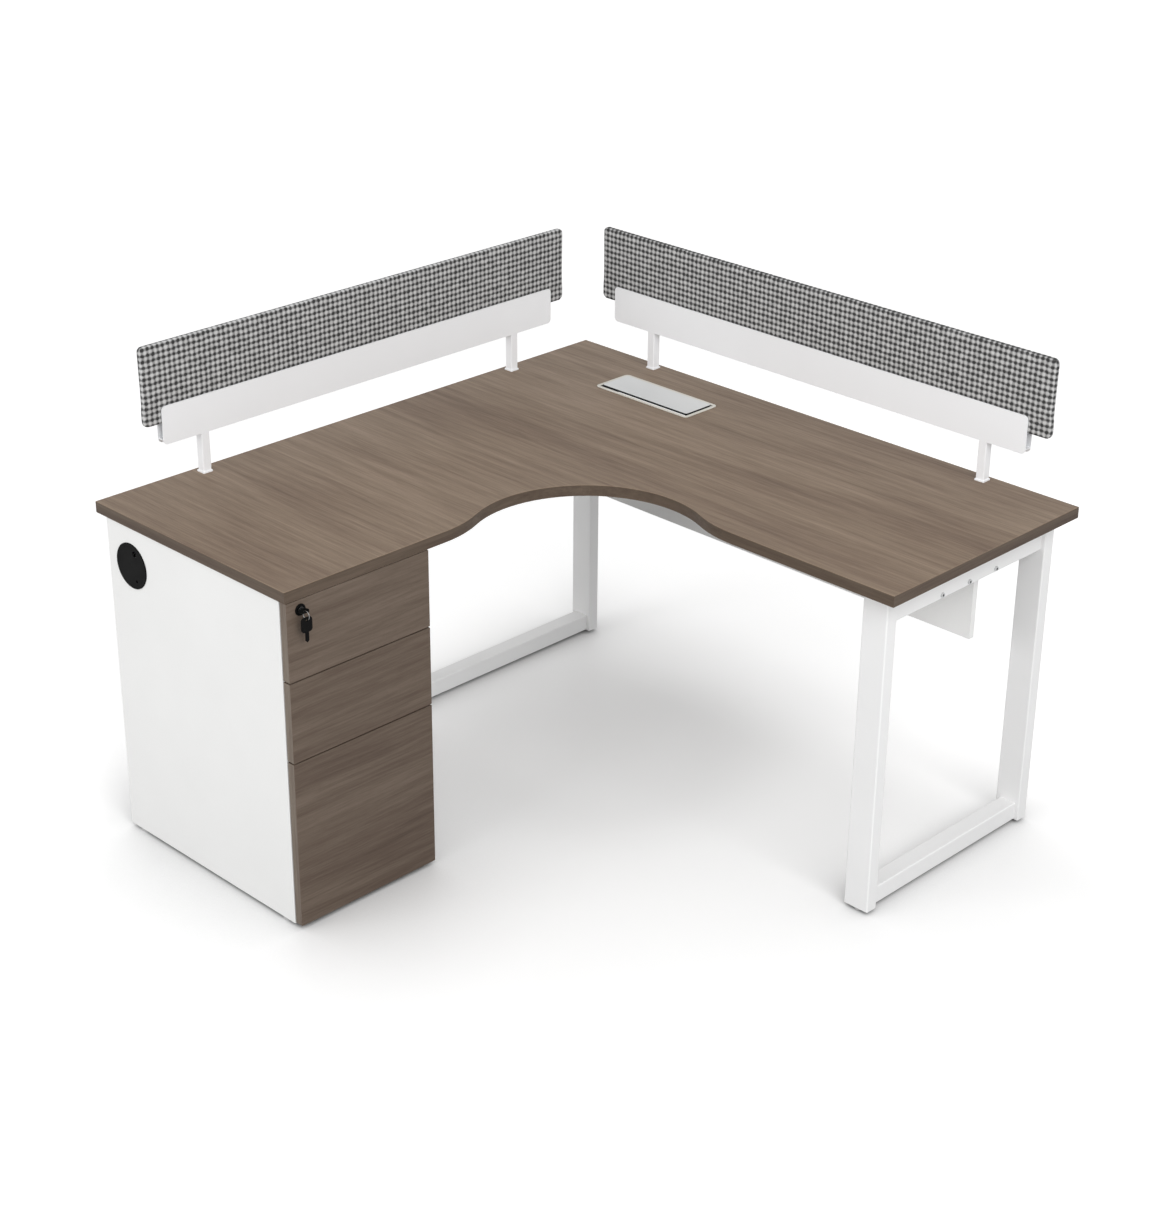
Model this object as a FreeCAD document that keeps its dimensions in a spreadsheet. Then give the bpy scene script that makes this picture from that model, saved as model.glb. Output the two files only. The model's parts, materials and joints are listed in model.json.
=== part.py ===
import FreeCAD, Part
import os
import re

import Sketcher

# L-shaped desk with a drawer pedestal, two loop legs and two fabric dividers.
# Frame: +Z up, floor at z = 0, centre of the square footprint at x = y = 0.
# The outer corner of the worktop lies at -X +Y, one arm runs along +X at the
# back and the other along -Y at the left, where the pedestal carries its end.

SIZES = (
    ("desk_length", 1400),
    ("arm_depth", 600),
    ("top_height", 745),
    ("top_thickness", 25),
    ("edge_round", 1.5),
    ("bay_centre", 800),
    ("bay_radius", 240),
    ("bay_lead_radius", 250),
    ("bay_lead_reach", 193.907),
    ("post_width", 60),
    ("post_depth", 30),
    ("tube_wall", 2),
    ("tube_round", 3),
    ("rail_width", 40),
    ("foot_rail_height", 40),
    ("head_rail_height", 76),
    ("leg_gap", 8),
    ("end_leg_inset", 45),
    ("end_leg_front", 45),
    ("end_leg_back", 10),
    ("corner_leg_inset", 5),
    ("corner_leg_back", 15),
    ("corner_leg_depth", 625),
    ("plug_height", 30),
    ("foot_radius", 11),
    ("foot_pad", 5),
    ("foot_slope", 2),
    ("stem_radius", 4),
    ("stem_length", 40),
    ("hole_gap", 0.3),
    ("thread_gap", 0.1),
    ("screw_gap", 0.2),
    ("overrun", 1),
    ("rim_chamfer", 1),
    ("beam_setback", 282),
    ("beam_drop", 60),
    ("beam_width", 60),
    ("beam_height", 30),
    ("plate_length", 236),
    ("plate_thickness", 4),
    ("plate_margin", 8),
    ("bolt_pitch", 88),
    ("bolt_drop", 67.5),
    ("bolt_radius", 3),
    ("bolt_head_radius", 5.25),
    ("bolt_head_height", 3.3),
    ("nut_height", 5),
    ("panel_setback", 185),
    ("panel_thickness", 15),
    ("panel_height", 210),
    ("panel_drop", 30),
    ("panel_gap", 5),
    ("panel_notch_length", 10),
    ("panel_notch_height", 45),
    ("bracket_leg", 30),
    ("bracket_width", 40),
    ("bracket_thickness", 3),
    ("bracket_end", 70),
    ("bracket_drop", 60),
    ("screw_radius", 2),
    ("screw_head_radius", 4),
    ("screw_head_height", 2.5),
    ("screw_bite", 11),
    ("cabinet_inset", 3),
    ("cabinet_width", 362),
    ("cabinet_back", 30),
    ("cabinet_depth", 549),
    ("board", 16),
    ("stretcher_width", 70),
    ("stretcher_setback", 30),
    ("glide_height", 8),
    ("glide_radius", 12),
    ("glide_inset", 35),
    ("glide_edge", 1),
    ("front_thickness", 18),
    ("front_gap", 2),
    ("front_round", 1),
    ("front_outer_reveal", 1),
    ("front_inner_reveal", 6),
    ("upper_front_base", 552.5),
    ("upper_front_height", 166),
    ("upper_box_base", 565),
    ("upper_box_height", 100),
    ("upper_runner_base", 575),
    ("centre_front_base", 378.5),
    ("centre_front_height", 171),
    ("centre_box_base", 391),
    ("centre_box_height", 130),
    ("centre_runner_base", 401),
    ("lower_front_base", 10),
    ("lower_front_height", 365.5),
    ("lower_box_base", 40),
    ("lower_box_height", 260),
    ("lower_runner_base", 60),
    ("drawer_depth", 400),
    ("drawer_side", 12),
    ("drawer_floor", 5),
    ("drawer_floor_lift", 10),
    ("groove_depth", 6),
    ("runner_space", 13),
    ("runner_length", 400),
    ("runner_height", 45),
    ("runner_setback", 20),
    ("runner_wall", 1.2),
    ("runner_flange", 11),
    ("carrier_inset", 2.2),
    ("carrier_flange", 9.5),
    ("slider_inset", 4.6),
    ("catch_lift", 57),
    ("catch_size", 10),
    ("catch_depth", 6),
    ("lock_inset", 34),
    ("lock_drop", 22),
    ("barrel_radius", 9.5),
    ("barrel_bore", 7.1),
    ("barrel_rear", 5),
    ("rosette_radius", 12),
    ("rosette_height", 3),
    ("lock_plug_radius", 6.8),
    ("cam_radius", 11),
    ("cam_thickness", 2.7),
    ("cam_pin_radius", 2.5),
    ("cam_pin_length", 6),
    ("cam_pin_offset", 5.66),
    ("bar_width", 8),
    ("bar_thickness", 1.5),
    ("bar_front", 8),
    ("bar_base", 95),
    ("bar_gap", 0.3),
    ("guide_wall", 4),
    ("guide_depth", 4.5),
    ("guide_height", 10),
    ("lug_lift", 45.5),
    ("lug_height", 8.5),
    ("lug_depth", 8),
    ("bar_head_reach", 28),
    ("bar_head_thickness", 2),
    ("bar_head_height", 15),
    ("bar_slot_height", 6.4),
    ("key_thickness", 3),
    ("key_head_length", 13.5),
    ("key_head_width", 22),
    ("key_head_round", 6),
    ("key_hole_radius", 3.5),
    ("key_hole_edge", 6),
    ("key_blade_width", 8),
    ("key_blade_thickness", 2),
    ("key_blade_length", 21),
    ("keyway_gap", 0.2),
    ("plug_proud", 1),
    ("ring_radius", 9),
    ("ring_wire", 0.8),
    ("ring_forward", 6.5),
    ("ring_drop", 6.2),
    ("spare_head_width", 25),
    ("spare_head_height", 30),
    ("spare_head_rise", 5),
    ("spare_hole_radius", 2.6),
    ("spare_hole_drop", 0.6),
    ("spare_blade_length", 22),
    ("grommet_x", 107),
    ("grommet_height", 636),
    ("grommet_rim", 49),
    ("grommet_seat", 42),
    ("grommet_tube", 40),
    ("grommet_bore", 38),
    ("grommet_depth", 17),
    ("grommet_proud", 2.5),
    ("grommet_ledge", 1),
    ("cap_gap", 0.3),
    ("cap_thickness", 1.5),
    ("cap_skirt", 2.7),
    ("cap_notch", 12),
    ("cap_notch_circle", 33.5),
    ("port_x", 377),
    ("port_y", 157),
    ("port_length", 278),
    ("port_width", 105),
    ("port_proud", 2),
    ("port_opening_length", 264),
    ("port_opening_width", 91),
    ("port_wall", 2.5),
    ("port_depth", 30),
    ("port_round", 10),
    ("liner_round", 4),
    ("opening_round", 2),
    ("lid_length", 257),
    ("lid_width", 81),
    ("lid_thickness", 4.5),
    ("lid_proud", 2),
    ("lid_round", 5),
    ("lid_back_gap", 3.8),
    ("lid_pin_radius", 1.5),
    ("lid_pin_inset", 1.5),
    ("lid_pin_reach", 1.2),
    ("lid_pin_gap", 0.4),
    ("ledge_reach", 8),
    ("ledge_length", 14),
    ("ledge_setback", 2),
    ("ledge_thickness", 2.8),
    ("fabric_thickness", 16),
    ("fabric_setback", 18),
    ("fabric_base", 877),
    ("fabric_height", 175),
    ("fabric_round", 12),
    ("fabric_edge", 4),
    ("end_fabric_start", 84),
    ("end_fabric_length", 1254),
    ("end_channel_start", 129),
    ("end_channel_length", 1154),
    ("side_fabric_start", 108),
    ("side_fabric_length", 1184),
    ("side_channel_start", 153),
    ("side_channel_length", 1097),
    ("channel_wall", 2),
    ("channel_base", 833),
    ("channel_height", 83),
    ("channel_web_lift", 10),
    ("channel_round", 10),
    ("divider_post", 20),
    ("divider_post_round", 2),
    ("post_inset_corner", 116),
    ("post_inset_end", 104),
    ("divider_post_floor", 24),
    ("divider_collar", 24),
    ("divider_collar_height", 3),
    ("stud_radius", 4),
    ("stud_bite", 20),
    ("clamp_radius", 2.5),
    ("clamp_head_radius", 4.5),
    ("clamp_head_height", 1.5),
    ("clamp_inset", 60),
    ("clamp_lift", 62),
)

doc = FreeCAD.newDocument("desk")
sheet = doc.addObject("Spreadsheet::Sheet", "Sizes")
for row, (alias, value) in enumerate(SIZES, start=1):
    sheet.set("A%d" % row, alias)
    sheet.set("B%d" % row, str(value))
    sheet.setAlias("B%d" % row, alias)
doc.recompute()

# Turns that lay a profile drawn on local XY, and padded along local Z, along a desk axis.
ALONG_X = FreeCAD.Rotation(FreeCAD.Vector(1, 1, 1), 120)
ALONG_Y = FreeCAD.Rotation(FreeCAD.Vector(1, 1, 1), 240)
ALONG_Z = FreeCAD.Rotation()
# Turns that bring local Z onto a desk axis for cylinders.
ROD_X = FreeCAD.Rotation(FreeCAD.Vector(0, 1, 0), 90)
ROD_Y = FreeCAD.Rotation(FreeCAD.Vector(1, 0, 0), -90)

# Expressions for the lines most pieces are placed from.
EDGE = "(desk_length / 2)"
UNDER = "(top_height - top_thickness)"

nodes = {}


def linked(text):
    """Point every size named in the text at its cell in the sheet."""
    return re.sub(r"\b([a-z][a-z_]+)\b", r"Sizes.\1", text)


def number(text):
    return float(sheet.evalExpression(linked(text)))


def bind(item, prop, text):
    item.setExpression(prop, linked(text))


def place(item, at, turn=ALONG_Z):
    item.Placement = FreeCAD.Placement(FreeCAD.Vector(), turn)
    for axis, text in zip("xyz", at):
        bind(item, "Placement.Base." + axis, text)
    return item


def keep(name, item):
    """Name a finished sub-part."""
    item.Label = name
    nodes[name] = item
    return item


def block(name, at, size):
    item = doc.addObject("Part::Box", name)
    for prop, text in zip(("Length", "Width", "Height"), size):
        bind(item, prop, text)
    return place(item, at)


def rod(name, at, radius, length, turn=ALONG_Z):
    item = doc.addObject("Part::Cylinder", name)
    bind(item, "Radius", radius)
    bind(item, "Height", length)
    return place(item, at, turn)


def group(name, items):
    item = doc.addObject("Part::Compound", name)
    item.Links = list(items)
    return item


def cut(name, base, tools):
    item = doc.addObject("Part::Cut", name)
    item.Base = base
    item.Tool = group(name + "_tools", tools)
    return item


def fuse(name, items):
    item = doc.addObject("Part::MultiFuse", name)
    item.Shapes = list(items)
    item.Refine = True
    return item


def new_sketch(body, name):
    sketch = body.newObject("Sketcher::SketchObject", name)
    plane = next(f for f in body.Origin.OriginFeatures if f.Role == "XY_Plane")
    sketch.AttachmentSupport = [(plane, "")]
    sketch.MapMode = "FlatFace"
    return sketch


def polygon(sketch, corners):
    """Closed outline whose corners follow the expressions given."""
    first = sketch.GeometryCount
    count = len(corners)
    spots = [FreeCAD.Vector(number(x), number(y), 0) for x, y in corners]
    for i in range(count):
        sketch.addGeometry(Part.LineSegment(spots[i], spots[(i + 1) % count]))
    for i in range(count):
        following = first + (i + 1) % count
        sketch.addConstraint(Sketcher.Constraint("Coincident", first + i, 2, following, 1))
    for i, corner in enumerate(corners):
        for kind, axis_line, text in (("DistanceX", -2, corner[0]), ("DistanceY", -1, corner[1])):
            value = number(text)
            if abs(value) < 1e-9:
                sketch.addConstraint(Sketcher.Constraint("PointOnObject", first + i, 1, axis_line))
                continue
            index = sketch.addConstraint(Sketcher.Constraint(kind, -1, 1, first + i, 1, value))
            bind(sketch, "Constraints[%d]" % index, text)


def rectangle(x, y, wide, deep):
    right = "%s + %s" % (x, wide)
    far = "%s + %s" % (y, deep)
    return ((x, y), (right, y), (right, far), (x, far))


def upright_edges(shape, spots):
    """Names of the straight edges along local Z that stand over the spots."""
    found = []
    for i, edge in enumerate(shape.Edges, start=1):
        start, end = edge.Vertexes[0].Point, edge.Vertexes[-1].Point
        if abs(start.x - end.x) + abs(start.y - end.y) > 1e-6 or edge.Length < 1e-6:
            continue
        if any(abs(start.x - x) + abs(start.y - y) < 1e-4 for x, y in spots):
            found.append("Edge%d" % i)
    return found


def level_edges(shape):
    """Names of the edges that lie square to local Z."""
    return ["Edge%d" % i for i, edge in enumerate(shape.Edges, start=1) if edge.BoundBox.ZLength < 1e-6]


def plate_corners(shape, wall, reach):
    """Names of the short edges across a plate's thickness at the ends of a channel section."""
    found = []
    for i, edge in enumerate(shape.Edges, start=1):
        box = edge.BoundBox
        level = max(abs(box.Center.x - reach / 2), abs(box.Center.y - reach / 2))
        if box.ZLength < 1e-6 and abs(edge.Length - wall) < 1e-6 and abs(level - reach / 2) < 1e-6:
            found.append("Edge%d" % i)
    return found


def soften(body, name, feature, edges, radius):
    fillet = body.newObject("PartDesign::Fillet", name)
    fillet.Base = (feature, edges)
    bind(fillet, "Radius", radius)
    doc.recompute()
    return fillet


def prism(name, outlines, length, at, turn=ALONG_Z, round_off=None):
    """Pad of one outline, or of an outline with a hollow, with its outer corners rounded."""
    body = doc.addObject("PartDesign::Body", name)
    sketch = new_sketch(body, name + "_outline")
    for corners in outlines:
        polygon(sketch, corners)
    pad = body.newObject("PartDesign::Pad", name + "_pad")
    pad.Profile = sketch
    bind(pad, "Length", length)
    doc.recompute()
    if round_off:
        spots = [(number(x), number(y)) for x, y in outlines[0]]
        soften(body, name + "_corners", pad, upright_edges(pad.Shape, spots), round_off)
    return place(body, at, turn)


def tube(name, wide, deep, length, at, turn):
    hollow = ["(%s - 2 * tube_wall)" % size for size in (wide, deep)]
    inner = rectangle("tube_wall", "tube_wall", *hollow)
    return prism(name, (rectangle("0", "0", wide, deep), inner), length, at, turn, "tube_round")


def turned(name, corners, at, turn):
    """Outline spun about local Y."""
    body = doc.addObject("PartDesign::Body", name)
    sketch = new_sketch(body, name + "_outline")
    polygon(sketch, corners)
    spin = body.newObject("PartDesign::Revolution", name + "_spin")
    spin.Profile = sketch
    spin.ReferenceAxis = (sketch, ["V_Axis"])
    spin.Angle = 360
    doc.recompute()
    return place(body, at, turn)


# Worktop: one board with a wave-shaped bay cut into the inner corner.

def worktop_outline(body):
    half = number(EDGE)
    inner = half - number("arm_depth")
    bay = number("bay_centre") - half
    radius = number("bay_radius")
    lead = number("bay_lead_radius")
    reach = bay + number("bay_lead_reach")
    step = radius / (radius + lead)
    end_lead = FreeCAD.Vector(reach, inner + lead, 0)
    side_lead = FreeCAD.Vector(-inner - lead, -reach, 0)
    bay_point = FreeCAD.Vector(bay, -bay, 0)
    end_turn = bay_point + (end_lead - bay_point) * step
    side_turn = bay_point + (side_lead - bay_point) * step
    corners = [
        FreeCAD.Vector(-half, half, 0),
        FreeCAD.Vector(half, half, 0),
        FreeCAD.Vector(half, inner, 0),
        FreeCAD.Vector(reach, inner, 0),
        end_turn,
        side_turn,
        FreeCAD.Vector(-inner, -reach, 0),
        FreeCAD.Vector(-inner, -half, 0),
        FreeCAD.Vector(-half, -half, 0),
    ]
    middles = {
        3: end_lead + ((corners[3] + end_turn) * 0.5 - end_lead).normalize() * lead,
        4: bay_point + FreeCAD.Vector(-1, 1, 0).normalize() * radius,
        5: side_lead + ((side_turn + corners[6]) * 0.5 - side_lead).normalize() * lead,
    }
    sketch = new_sketch(body, "worktop_outline")
    for i, corner in enumerate(corners):
        following = corners[(i + 1) % len(corners)]
        if i in middles:
            sketch.addGeometry(Part.Arc(corner, middles[i], following))
        else:
            sketch.addGeometry(Part.LineSegment(corner, following))
    return sketch


def bind_worktop(sketch):
    """Tie the outline to the sheet: line and arc ends meet, arcs run smoothly on."""
    for a, b in ((0, 1), (1, 2), (6, 7), (7, 8), (8, 0)):
        sketch.addConstraint(Sketcher.Constraint("Coincident", a, 2, b, 1))
    for a, b in ((2, 3), (3, 4), (4, 5), (5, 6)):
        spots = [(pa, pb) for pa in (1, 2) for pb in (1, 2)]
        gap = [(sketch.getPoint(a, pa) - sketch.getPoint(b, pb)).Length for pa, pb in spots]
        pa, pb = spots[gap.index(min(gap))]
        sketch.addConstraint(Sketcher.Constraint("Tangent", a, pa, b, pb))
    for line in (0, 2, 7):
        sketch.addConstraint(Sketcher.Constraint("Horizontal", line))
    for line in (1, 6, 8):
        sketch.addConstraint(Sketcher.Constraint("Vertical", line))
    sized = (
        ("DistanceX", (0, 1, -1, 1), EDGE),
        ("DistanceY", (-1, 1, 0, 1), EDGE),
        ("DistanceX", (0, 1, 0, 2), "desk_length"),
        ("DistanceY", (8, 1, 8, 2), "desk_length"),
        ("DistanceY", (1, 2, 1, 1), "arm_depth"),
        ("DistanceX", (7, 2, 7, 1), "arm_depth"),
        ("DistanceX", (0, 1, 4, 3), "bay_centre"),
        ("DistanceY", (4, 3, 0, 1), "bay_centre"),
    )
    for kind, points, text in sized:
        index = sketch.addConstraint(Sketcher.Constraint(kind, *points, number(text)))
        bind(sketch, "Constraints[%d]" % index, text)
    for arc, text in ((3, "bay_lead_radius"), (4, "bay_radius"), (5, "bay_lead_radius")):
        index = sketch.addConstraint(Sketcher.Constraint("Radius", arc, number(text)))
        bind(sketch, "Constraints[%d]" % index, text)


def worktop_board():
    body = doc.addObject("PartDesign::Body", "worktop_board")
    sketch = worktop_outline(body)
    bind_worktop(sketch)
    pad = body.newObject("PartDesign::Pad", "worktop_pad")
    pad.Profile = sketch
    bind(pad, "Length", "top_thickness")
    doc.recompute()
    soften(body, "worktop_rims", pad, level_edges(pad.Shape), "edge_round")
    return place(body, ("0", "0", UNDER))


# Fixing points shared by the worktop's holes and the fasteners in them.
PANEL_BACK = EDGE + " - panel_setback"
END_LEG_X = "(%s - end_leg_inset - post_width)" % EDGE
END_RAIL_X = "(%s + (post_width - rail_width) / 2)" % END_LEG_X
END_LEG_FRONT = "(%s - arm_depth + end_leg_front)" % EDGE
END_LEG_BACK = "(%s - end_leg_back)" % EDGE
CORNER_LEG_X = "(-%s + corner_leg_inset)" % EDGE
CORNER_RAIL_X = "(%s + (post_width - rail_width) / 2)" % CORNER_LEG_X
PANEL_START = "(%s + rail_width + panel_gap)" % CORNER_RAIL_X
PANEL_LENGTH = "(%s - panel_gap - %s)" % (END_RAIL_X, PANEL_START)
CORNER_LEG_BACK = "(%s - corner_leg_back)" % EDGE
CORNER_LEG_FRONT = "(%s - corner_leg_depth)" % CORNER_LEG_BACK
CABINET_X = "(-%s + cabinet_back)" % EDGE
CABINET_FRONT = "(%s + cabinet_depth)" % CABINET_X
CABINET_Y = "(-%s + cabinet_inset)" % EDGE
CABINET_FAR = "(%s + cabinet_width)" % CABINET_Y
INSIDE_Y = "(%s + board)" % CABINET_Y
INSIDE_FAR = "(%s - board)" % CABINET_FAR
PORT_X = "(-%s + port_x)" % EDGE
PORT_Y = "(%s - port_y)" % EDGE
FABRIC_FRONT = "(%s - fabric_setback - fabric_thickness)" % EDGE

panel_bracket_x = [
    "(%s + bracket_end)" % PANEL_START,
    "(%s + %s / 2 - bracket_width / 2)" % (PANEL_START, PANEL_LENGTH),
    "(%s + %s - bracket_end - bracket_width)" % (PANEL_START, PANEL_LENGTH),
]
end_bracket_y = [
    "(%s + post_depth + bracket_end / 2)" % END_LEG_FRONT,
    "(%s - post_depth - bracket_end / 2 - bracket_width)" % END_LEG_BACK,
]
corner_bracket_y = [
    "(%s + post_depth + bracket_end / 2)" % CORNER_LEG_FRONT,
    "(%s - post_depth - bracket_end / 2 - bracket_width)" % CORNER_LEG_BACK,
]
bracket_screws = []
for x in panel_bracket_x:
    bracket_screws.append((x + " + bracket_width / 2", PANEL_BACK + " + bracket_leg * 0.6"))
for y in end_bracket_y:
    bracket_screws.append((END_RAIL_X + " - bracket_leg * 0.6", y + " + bracket_width / 2"))
for y in corner_bracket_y:
    x = CORNER_RAIL_X + " + rail_width + bracket_leg * 0.6"
    bracket_screws.append((x, y + " + bracket_width / 2"))
stretcher_x = [CABINET_FRONT + " - stretcher_setback - stretcher_width", CABINET_X + " + board"]
stretcher_screws = []
for x in stretcher_x:
    for share in (0.25, 0.75):
        y = "%s + (cabinet_width - 2 * board) * %s" % (INSIDE_Y, share)
        stretcher_screws.append((x + " + stretcher_width / 2", y))
post_centre = "%s + fabric_thickness / 2" % FABRIC_FRONT
end_posts = [
    "(-%s + end_channel_start + post_inset_corner)" % EDGE,
    "(-%s + end_channel_start + end_channel_length - post_inset_end)" % EDGE,
]
side_posts = [
    "(%s - side_channel_start - post_inset_corner)" % EDGE,
    "(%s - side_channel_start - side_channel_length + post_inset_end)" % EDGE,
]
studs = [(x, post_centre) for x in end_posts] + [("-(%s)" % post_centre, y) for y in side_posts]

board_holes = []
port_hole = rectangle(
    "0", "0", "(port_opening_length + 2 * port_wall + 2 * hole_gap)",
    "(port_opening_width + 2 * port_wall + 2 * hole_gap)")
board_holes.append(prism(
    "port_cut_out", (port_hole,), "top_thickness + 2 * overrun",
    (PORT_X + " - port_opening_length / 2 - port_wall - hole_gap",
     PORT_Y + " - port_opening_width / 2 - port_wall - hole_gap", UNDER + " - overrun"),
    ALONG_Z, "liner_round + hole_gap"))
for i, (x, y) in enumerate(bracket_screws + stretcher_screws):
    board_holes.append(rod("pilot_hole_%d" % i, (x, y, UNDER + " - overrun"), "screw_radius + thread_gap",
                           "screw_bite + 2 * overrun"))
for i, (x, y) in enumerate(studs):
    board_holes.append(rod("stud_hole_%d" % i, (x, y, "top_height - stud_bite - overrun"),
                           "stud_radius + thread_gap", "stud_bite + 2 * overrun"))
keep("worktop", cut("worktop_cut", worktop_board(), board_holes))


# Loop legs: two posts and two narrower rails of square-edged tube on each.

def leg(word, x, rail_x, front, back):
    front_post = tube(word + "_leg_front_post_tube", "post_width", "post_depth",
                      UNDER + " - leg_gap", (x, front, "leg_gap"), ALONG_Z)
    back_post = tube(word + "_leg_back_post_tube", "post_width", "post_depth",
                     UNDER + " - leg_gap", (x, back + " - post_depth", "leg_gap"), ALONG_Z)
    keep(word + "_leg_posts", group(word + "_leg_posts_pair", (front_post, back_post)))
    start = front + " + post_depth"
    span = "(%s - %s - 2 * post_depth)" % (back, front)
    keep(word + "_leg_bottom_rail", tube(
        word + "_leg_bottom_tube", "foot_rail_height", "rail_width", span,
        (rail_x, start, "leg_gap"), ALONG_Y))
    top_tube = tube(word + "_leg_top_tube", "head_rail_height", "rail_width", span,
                    (rail_x, start, UNDER + " - head_rail_height"), ALONG_Y)
    holes = []
    for i, step in enumerate((-1, 0, 1)):
        y = "%s - beam_setback + %d * bolt_pitch" % (EDGE, step)
        holes.append(rod("%s_leg_bolt_hole_%d" % (word, i), (rail_x + " - overrun", y, BOLT_Z),
                         "bolt_radius + screw_gap", "rail_width + 2 * overrun", ROD_X))
    keep(word + "_leg_top_rail", cut(word + "_leg_top_cut", top_tube, holes))
    return [(x + " + post_width / 2", front + " + post_depth / 2"),
            (x + " + post_width / 2", back + " - post_depth / 2")]


BEAM_Z = "(%s - beam_drop)" % UNDER
BOLT_Z = "(%s - bolt_drop)" % UNDER
leg_feet = leg("end", END_LEG_X, END_RAIL_X, END_LEG_FRONT, END_LEG_BACK)
leg_feet += leg("corner", CORNER_LEG_X, CORNER_RAIL_X, CORNER_LEG_FRONT, CORNER_LEG_BACK)

plugs = []
for i, (x, y) in enumerate(leg_feet):
    solid = block("leg_plug_block_%d" % i,
                  (x + " - post_width / 2 + tube_wall", y + " - post_depth / 2 + tube_wall", "leg_gap"),
                  ("post_width - 2 * tube_wall", "post_depth - 2 * tube_wall", "plug_height"))
    bore = rod("leg_plug_bore_%d" % i, (x, y, "leg_gap - overrun"), "stem_radius + hole_gap",
               "plug_height + 2 * overrun")
    plugs.append(cut("leg_plug_%d" % i, solid, (bore,)))
keep("leg_end_plugs", group("leg_end_plug_set", plugs))

UPRIGHT = FreeCAD.Rotation(FreeCAD.Vector(1, 0, 0), 90)
foot_profile = (("0", "0"), ("foot_radius - rim_chamfer", "0"), ("foot_radius", "rim_chamfer"),
                ("foot_radius", "foot_pad - rim_chamfer"), ("foot_radius - foot_slope", "foot_pad"),
                ("stem_radius", "foot_pad"),
                ("stem_radius", "foot_pad + stem_length"), ("0", "foot_pad + stem_length"))
foot_names = ("end_front_foot", "end_back_foot", "corner_front_foot", "corner_back_foot")
for name, (x, y) in zip(foot_names, leg_feet):
    keep(name, turned(name + "_body", foot_profile, (x, y, "0"), UPRIGHT))

# Cross beam between the legs, with a bolted plate at each end.
BEAM_START = "(%s + rail_width)" % CORNER_RAIL_X
BEAM_LENGTH = "(%s - %s)" % (END_RAIL_X, BEAM_START)
BEAM_Y = "(%s - beam_setback)" % EDGE
beam = tube("cross_beam_tube", "beam_width", "beam_height", BEAM_LENGTH + " - 2 * plate_thickness",
            (BEAM_START + " + plate_thickness", BEAM_Y + " - beam_width / 2", BEAM_Z), ALONG_X)
keep("cross_beam", beam)
plates = []
bolts = []
beam_ends = (("corner", BEAM_START, CORNER_RAIL_X), ("end", END_RAIL_X + " - plate_thickness", END_RAIL_X))
for word, plate_x, rail_x in beam_ends:
    plate = block(word + "_beam_plate_blank",
                  (plate_x, BEAM_Y + " - plate_length / 2", BOLT_Z + " - plate_margin"),
                  ("plate_thickness", "plate_length", "bolt_drop + plate_margin - beam_drop + beam_height"))
    holes = []
    for i, step in enumerate((-1, 0, 1)):
        y = "%s + %d * bolt_pitch" % (BEAM_Y, step)
        name = "%s_beam_bolt_%d" % (word, i)
        holes.append(rod(name + "_hole", (plate_x + " - overrun", y, BOLT_Z), "bolt_radius + screw_gap",
                         "plate_thickness + 2 * overrun", ROD_X))
        if word == "end":
            head_x = rail_x + " + rail_width"
            nut_x = plate_x + " - nut_height"
            shank_x = nut_x
        else:
            head_x = rail_x + " - bolt_head_height"
            nut_x = plate_x + " + plate_thickness"
            shank_x = rail_x
        bolts.append(fuse(name, (
            rod(name + "_head", (head_x, y, BOLT_Z), "bolt_head_radius", "bolt_head_height", ROD_X),
            rod(name + "_shank", (shank_x, y, BOLT_Z), "bolt_radius",
                "rail_width + plate_thickness + nut_height", ROD_X),
            rod(name + "_nut", (nut_x, y, BOLT_Z), "bolt_head_radius", "nut_height", ROD_X))))
    plates.append(cut(word + "_beam_plate", plate, holes))
keep("beam_end_plates", group("beam_end_plate_pair", plates))
keep("beam_bolts", group("beam_bolt_set", bolts))

# White board hanging under the back arm, on three angle brackets. Its upper corners are
# notched round the nuts of the beam bolts.
panel_blank = block("modesty_panel_blank",
                    (PANEL_START, PANEL_BACK + " - panel_thickness", UNDER + " - panel_drop - panel_height"),
                    (PANEL_LENGTH, "panel_thickness", "panel_height"))
NOTCH_Z = UNDER + " - panel_drop - panel_notch_height"
notch_starts = (PANEL_START + " - overrun",
                "%s + %s - panel_notch_length" % (PANEL_START, PANEL_LENGTH))
panel_holes = []
for i, x in enumerate(notch_starts):
    panel_holes.append(block("panel_notch_%d" % i, (x, PANEL_BACK + " - panel_thickness - overrun", NOTCH_Z),
                             ("panel_notch_length + overrun", "panel_thickness + 2 * overrun",
                              "panel_notch_height + overrun")))
brackets = []
screws = []


def angle_bracket(name, corners, at, turn, screw_x, screw_y, extra=()):
    """L of bent steel under the worktop, held up by one screw."""
    blank = prism(name + "_blank", (corners,), "bracket_width", at, turn)
    hole = rod(name + "_hole", (screw_x, screw_y, UNDER + " - bracket_thickness - overrun"),
               "screw_radius + screw_gap", "bracket_thickness + 2 * overrun")
    brackets.append(cut(name, blank, (hole,) + tuple(extra)))
    upward_screw(name, screw_x, screw_y, UNDER + " - bracket_thickness", "bracket_thickness")


def upward_screw(name, x, y, z, through):
    screws.append(fuse(name + "_screw", (
        rod(name + "_screw_head", (x, y, z + " - screw_head_height"), "screw_head_radius",
            "screw_head_height"),
        rod(name + "_screw_shank", (x, y, z), "screw_radius", through + " + screw_bite"))))


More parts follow.
